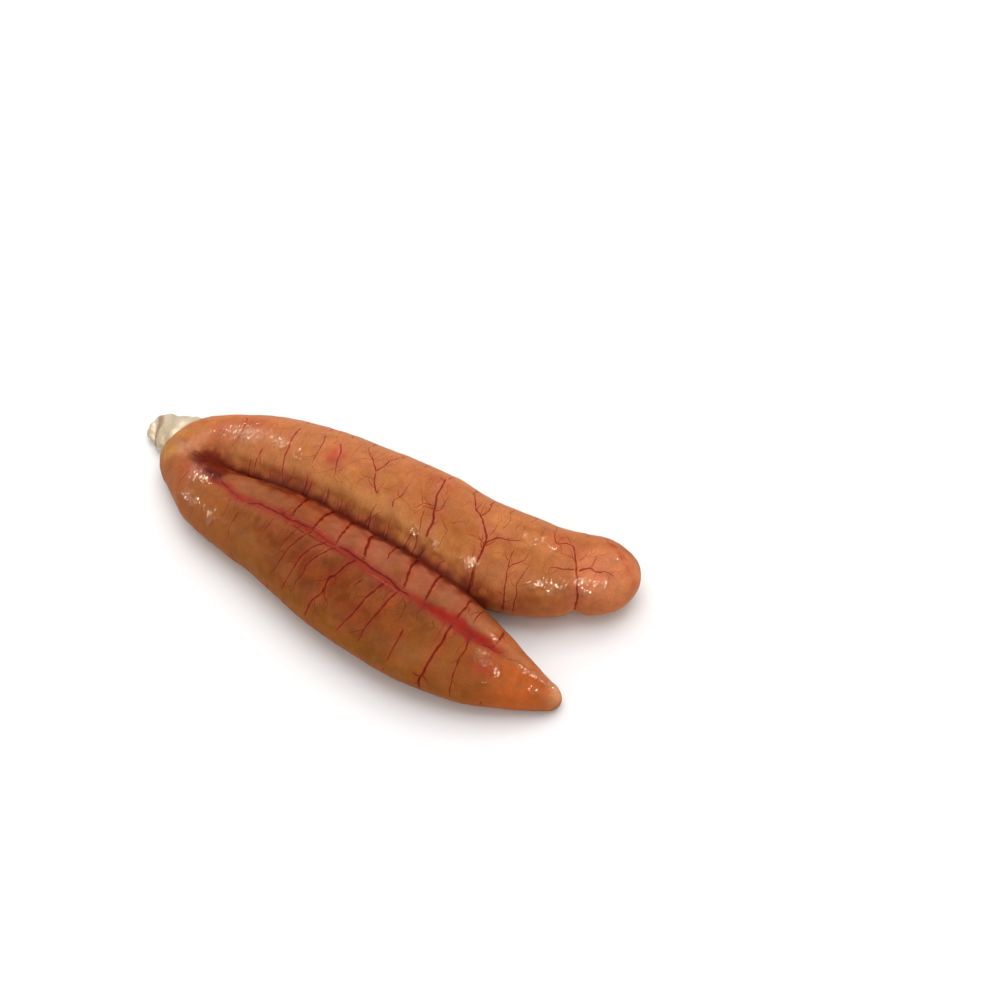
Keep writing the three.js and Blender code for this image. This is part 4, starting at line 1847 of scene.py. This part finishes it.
FRONT_LOBE = Lobe(
    stations=(
        Station(-80, 10.4, 7.9, 13),
        Station(-66, 2.8, 9.5, 18.5),
        Station(-53, -3.2, 11.8, 21.5),
        Station(-40, -5, 13.6, 23.5),
        Station(-24, -6.3, 16, 25.5),
        Station(-2, -10.4, 18.7, 26),
        Station(19, -13.4, 19.6, 26),
        Station(37, -15.6, 18.7, 25),
        Station(51, -16.7, 15.9, 22.5),
        Station(62, -16.7, 12.2, 19),
        Station(74, -15.8, 7.2, 14),
        Station(83.9, -13.7, 2.7, 6.8),
    ),
    head_cap=12,
    tail_cap=3,
    seed=23,
    ground=Tone.BROWN,
    seam_reach=3.0,
    seam_stain_and_shade=5.0,
    glow=Tone.FLUSH,
    glow_strength=0.3,
    clouds=(Tone.RUST, Tone.SAND),
    band=(
        BandPoint(25.5, 99, 0.6, 1.4),
        BandPoint(33, 97, 0.5, 0.9),
        BandPoint(38, 94, 0.5, 1.2),
        BandPoint(43, 87, 0.7, 1.6),
        BandPoint(49.5, 88, 0.45, 1.3),
        BandPoint(58, 91, 0.45, 1.3),
        BandPoint(64.5, 93, 0.6, 1.6),
        BandPoint(72.5, 97, 0.55, 1.7),
        BandPoint(79, 96, 0.5, 1.8),
        BandPoint(89, 96, 0.45, 1.9),
        BandPoint(98.5, 94, 0.4, 1.9),
        BandPoint(108, 92, 0.35, 1.8),
        BandPoint(114, 93, 0.45, 1.3),
        BandPoint(120, 94, 0.8, 1.6),
        BandPoint(127, 95, 1.0, 2.5),
        BandPoint(133, 97, 1.0, 3.0),
        BandPoint(140, 96, 1.0, 2.2),
        BandPoint(147, 100, 0.4, 0.8),
    ),
    wrinkled=(
        Patch(27, 85, 4, 14, 1),
        Patch(29.5, 47, 3.5, 10, 1),
        Patch(38, 44, 2.5, 14, 0.9),
        Patch(143, 74, 2.5, 10, 0.8),
        Patch(148.5, 68, 1.6, 8, 1),
        Patch(147.5, 46, 1.5, 5, 0.9),
        Patch(156.5, 97, 3, 11, 1),
        Patch(164, 98, 2.6, 14, 1),
        Patch(160.5, 58, 3.4, 12, 1),
        Patch(143.5, 110, 1.5, 6, 0.9),
    ),
    washes=(
        # The dark umber over the front side is partly its own tone and partly painted shade, as that side
        # faces away from the main light.
        Wash(84, 62, 30, 34, 0.94, Tone.UMBER),
        Wash(126, 40, 11, 26, 0.8, Tone.SAND),
        Wash(52, 30, 12, 26, 0.6, Tone.SAND),
        # The olive at the low front edge is partly painted shade near the floor.
        Wash(90, 8, 70, 18, 0.75, Tone.MOSS),
        Wash(104, 127, 46, 23, 0.92, Tone.BEIGE),
        Wash(42, 116, 10, 12, 0.7, Tone.BEIGE),
        Wash(110, 58, 9, 14, 0.45, Tone.UMBER),
        Wash(58, 66, 12, 16, 0.5, Tone.UMBER),
        Wash(14, 60, 24, 80, 0.9, Tone.HEAD),
        Wash(156, 60, 12, 90, 0.9, Tone.ORANGE),
        Wash(156, 118, 12, 22, 0.6, Tone.ROSE),
        # The pale tip is partly a painted highlight of the wet end.
        Wash(167.5, 98, 4.4, 90, 0.9, Tone.PALE),
        Wash(104, 84, 10, 7, 0.5, Tone.UMBER),
    ),
    marks=(
        # Painted shade of the crease on the strip beside it.
        Wash(60, 128, 15, 7, 0.6, Tone.MAROON),
        Wash(53, 132, 6, 6, 0.85, Tone.CLOT),
        Wash(144.5, 64, 3.5, 12, 0.75, Tone.FLUSH),
        Wash(30.7, 107, 1.8, 7, 0.9, Tone.CLOT),
        Wash(104, 42, 9, 12, 0.4, Tone.UMBER),
        Wash(140, 119, 9, 13, 0.5, Tone.ROSE),
    ),
    vessels=(
        Vessel(((30.5, 108), (33, 102), (35.5, 97), (38, 94), (42, 88), (47.5, 85)), 0.9, 0.9, 0),
        Vessel(((47.5, 84), (51, 90), (58.5, 91), (64.5, 93), (72, 98)), 1.1, 1.0, 1, 0.9),
        Vessel(((72, 98), (79.5, 96), (83.5, 97)), 0.9, 0.6, 0),
        Vessel(((84, 97.5), (90, 98), (97.4, 96.5), (103.1, 96.5), (108.5, 94), (114, 93)), 1.4, 0.9, 0, 0.7),
        # The three mauve strands beside the band are pale folds; their paleness is partly a painted
        # highlight.
        Vessel(((88, 103), (97, 101.5), (103, 101), (110, 98)), 0.9, 0.7, 0, 0.6, 0.0, Tone.MAUVE_SHEEN),
        Vessel(((99, 91), (105, 90.5), (111, 90)), 0.9, 0.7, 0, 0.6, 0.0, Tone.MAUVE_SHEEN),
        Vessel(((66, 99), (73, 102), (80, 101)), 0.8, 0.6, 0, 0.6, 0.0, Tone.MAUVE_SHEEN),
        Vessel(((118, 94), (125, 94), (128.5, 95), (136, 96), (141, 95)), 1.2, 0.2, 0),
        Vessel(((141, 94), (145, 96), (148, 100)), 0.8, 0.9, 1),
        Vessel(((66, 87), (70, 88), (76, 90), (84, 92), (89, 92)), 0.9, 0.6, 0),
        Vessel(((60.5, 148), (61.9, 121), (63.8, 95)), 1.15, 0.95, 0, 0.9, 0.28),
        Vessel(((69.8, 150), (71.2, 117), (72.5, 96)), 1.5, 1.0, 0, 0.9, 0.3),
        Vessel(((77.5, 152), (79.3, 130), (82.5, 97)), 1.15, 0.95, 0, 0.9, 0.28),
        Vessel(((87, 152), (88.6, 130), (93.7, 97)), 1.6, 1.0, 0, 0.9, 0.3),
        Vessel(((96.5, 152), (97.4, 130), (99.3, 114)), 0.9, 0.85, 0, 0.7, 0.25),
        Vessel(((105, 150), (106.4, 126), (110.5, 95)), 1.35, 0.95, 0, 0.9, 0.3),
        Vessel(((114.8, 150), (116.3, 123), (118.6, 97)), 1.35, 1.0, 0, 0.9, 0.28),
        Vessel(((128, 150), (129.5, 124), (130, 99)), 1.2, 0.9, 1, 0.9, 0.28),
        Vessel(((134, 152), (134, 140), (134.5, 121), (135, 108)), 0.7, 0.85, 0, 0.8, 0.1),
        Vessel(((144, 144), (144.5, 119), (144.5, 106)), 1.25, 0.9, 1, 0.9, 0.3),
        Vessel(((132.5, 118), (133.5, 135), (135, 148)), 0.5, 0.7, 1),
        Vessel(((41.5, 80), (42.5, 64), (42.5, 48)), 0.6, 0.4, 1),
        Vessel(((39.5, 40), (38.5, 14)), 0.5, 0.35, 1),
        Vessel(((47, 68), (46.5, 47), (47, 20)), 0.7, 0.4, 2),
        Vessel(((59.5, 82), (59.5, 70), (60, 52)), 0.7, 0.5, 2),
        Vessel(((68.5, 93), (68.5, 73), (68, 54)), 0.7, 0.6, 0),
        Vessel(((73, 95), (71, 67), (71, 49), (70.5, 38), (70, 28)), 0.9, 0.7, 1),
        Vessel(((79.5, 95), (76.5, 71), (76.5, 51), (76, 27), (75.5, 14)), 1.0, 0.85, 2),
        Vessel(((83.5, 95), (80, 70), (80, 50), (79.5, 40), (79.5, 28)), 0.9, 0.75, 1),
        Vessel(
            ((91.5, 95), (89.5, 71), (88.5, 65), (89, 51), (87, 31), (86.5, 17), (86, 4)), 1.15, 1.0, 2, 0.6
        ),
        Vessel(((89.5, 52), (90.5, 46), (93, 40)), 0.8, 0.8, 1),
        Vessel(((88.5, 65), (87, 59), (84.5, 53)), 0.6, 0.6, 1),
        Vessel(((98, 82), (97, 74), (96.5, 64)), 0.7, 0.6, 1),
        Vessel(((104.5, 93), (102.5, 67), (101.5, 48), (99.5, 28), (98.5, 17)), 1.15, 0.9, 1),
        Vessel(((109.5, 91), (108.5, 63), (107.5, 44), (107, 20)), 1.0, 0.85, 1),
        Vessel(((118.5, 62), (118.5, 39), (118, 16)), 1.0, 0.75, 1),
        Vessel(((130, 92), (130.5, 70), (130, 49), (129.5, 27), (129, 14), (129, -8)), 1.3, 1.0, 2, 0.9),
        Vessel(((129, 21), (127.5, 20), (126, 23)), 0.8, 0.9, 0),
        Vessel(((137, 93), (137.5, 69), (137.5, 46), (138, 23), (138, -6)), 1.0, 0.7, 2),
        Vessel(((112.5, 87), (114.5, 83), (114.5, 77)), 0.6, 0.6, 1),
        Vessel(((124.5, 84), (126, 79), (125.5, 72)), 0.6, 0.5, 1),
        Vessel(((148, 97), (150, 96), (153, 105), (155, 106)), 0.6, 0.6, 1),
        Vessel(((21.5, 76), (22, 56), (22.5, 37), (24.5, 16)), 0.7, 0.4, 1),
    ),
    rows=(
        VesselRow((24, 33, 41, 49, 59, 68, 76, 86, 98, 108, 118, 147), 6, -50),
        VesselRow(tuple(range(36, 146, 4)), 90, 58, 0.45, 0.35, 0, 1.5),
    ),
)
HEAD_SPOTS = (
    Spot((-57, 4, 18.8), 5.5, 0.32, Tone.FLUSH),
    Spot((-64.5, -1.6, 18.7), 3.2, 0.45, Tone.FLUSH),
    Spot((-60.7, 16.3, 20.7), 5.0, 0.45, Tone.FLUSH),
    # Pale pink where the lobes meet, partly a painted sheen.
    Spot((-67, 8.5, 17.9), 3.2, 0.3, Tone.PALE_ROSE_SHEEN),
    Spot((-71, 6.2, 17.2), 2.6, 0.8, Tone.PALE_ROSE_SHEEN),
    Spot((-66.5, 13, 18.2), 2.6, 0.4, Tone.PALE_ROSE_SHEEN),
    # Painted sheen of the wet skin at the head.
    Spot((-61, 0.8, 19.8), 2.8, 0.5, Tone.LILAC_SHEEN),
    Spot((-59.5, -2, 20.3), 2.6, 0.4, Tone.LILAC_SHEEN),
    Spot((-76, 12.1, 14.8), 3.0, 0.75, Tone.OCHRE),
    Spot((-75.1, 4.5, 14.9), 3.0, 0.85, Tone.OCHRE),
    Spot((-78.5, 6, 12.7), 2.8, 0.6, Tone.OCHRE),
    Spot((-73.8, 16, 15.1), 1.4, 0.6, Tone.RUST),
    Spot((-70.6, 17.8, 17.4), 1.6, 0.6, Tone.RUST),
    # The dark smudge where the crease starts: blood and painted shade of the crease.
    Spot((-64.1, 4, 18.4), 2.4, 0.95, Tone.CREASE_BLOOD_AND_SHADE),
    Spot((-61.3, 4.6, 18.7), 3.0, 1.0, Tone.CREASE_BLOOD_AND_SHADE),
    Spot((-58.1, 4.2, 19), 3.4, 1.0, Tone.CREASE_BLOOD_AND_SHADE),
    Spot((-59.1, 8, 16.9), 3.2, 0.95, Tone.CREASE_BLOOD_AND_SHADE),
    Spot((-53.9, 4.6, 18.3), 3.4, 1.0, Tone.CREASE_BLOOD_AND_SHADE),
    Spot((-50.3, 3.2, 19.5), 2.6, 0.9, Tone.CREASE_BLOOD_AND_SHADE),
    Spot((-57.2, 0.9, 20.0), 2.2, 0.6, Tone.CREASE_BLOOD_AND_SHADE),
    Spot((-54.8, 1.1, 20.3), 2.6, 0.95, Tone.CREASE_BLOOD_AND_SHADE),
    Spot((-51.6, 0.3, 21.1), 2.6, 1.0, Tone.CREASE_BLOOD_AND_SHADE),
    Spot((-60.4, 5.2, 18), 1.8, 0.9, Tone.CLOT),
    Spot((-56.5, 4.6, 18.6), 2.0, 0.9, Tone.CLOT),
    Spot((-54.3, 0.9, 20.5), 2.2, 0.9, Tone.CLOT),
    Spot((-52.2, 0.5, 20.9), 1.8, 0.8, Tone.CLOT),
)
STUMP = Stump(
    stations=(
        Station(-69, 20, 6.5, 11),
        Station(-77, 17, 9, 11),
        Station(-83, 16.8, 8.2, 9.5),
        Station(-88, 17.4, 6.4, 7),
        Station(-94, 17.2, 4.5, 4.5),
    ),
    head_cap=4,
    tail_cap=1.8,
    spots=(
        Spot((-77, 9.5, 8), 4.0, 0.8, Tone.OCHRE),
        Spot((-74, 22, 11), 5.0, 0.7, Tone.GREEN_CREAM),
    ),
)


def frame_shift() -> np.ndarray:
    """Finds the way from the stations' own axes to the frame's, from the lobes' box in the frame.

    Returns:
        The shift in millimetres.
    """
    low, high = (np.array(corner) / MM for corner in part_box("lobes"))
    points = np.vstack([lobe.surface(*lobe.grid).reshape(-1, 3) for lobe in (BACK_LOBE, FRONT_LOBE)])
    middle = (points.min(axis=0) + points.max(axis=0)) / 2
    shift = (low + high) / 2 - middle
    shift[2] = 0.0
    return shift


def main() -> None:
    """Builds the studio and the roe, and reports each piece."""
    logging.basicConfig(level=logging.INFO, format="%(name)s: %(message)s")
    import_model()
    shift = frame_shift()
    studio = Studio()
    studio.build_camera(shift)
    studio.build_lights()
    studio.build_floor()
    membrane, vessels = LobePair(BACK_LOBE, FRONT_LOBE, HEAD_SPOTS).build(shift)
    stump = STUMP.build(shift)
    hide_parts("lobes")
    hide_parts("stump")
    for piece, slot in ((membrane, Slot.MEMBRANE), (vessels, Slot.MEMBRANE), (stump, Slot.DUCT)):
        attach(piece, "root")
        triangles = sum(len(face.vertices) - 2 for face in piece.data.polygons)
        LOG.info("%s: %d triangles", piece.name, triangles)


if __name__ == "__main__":
    main()
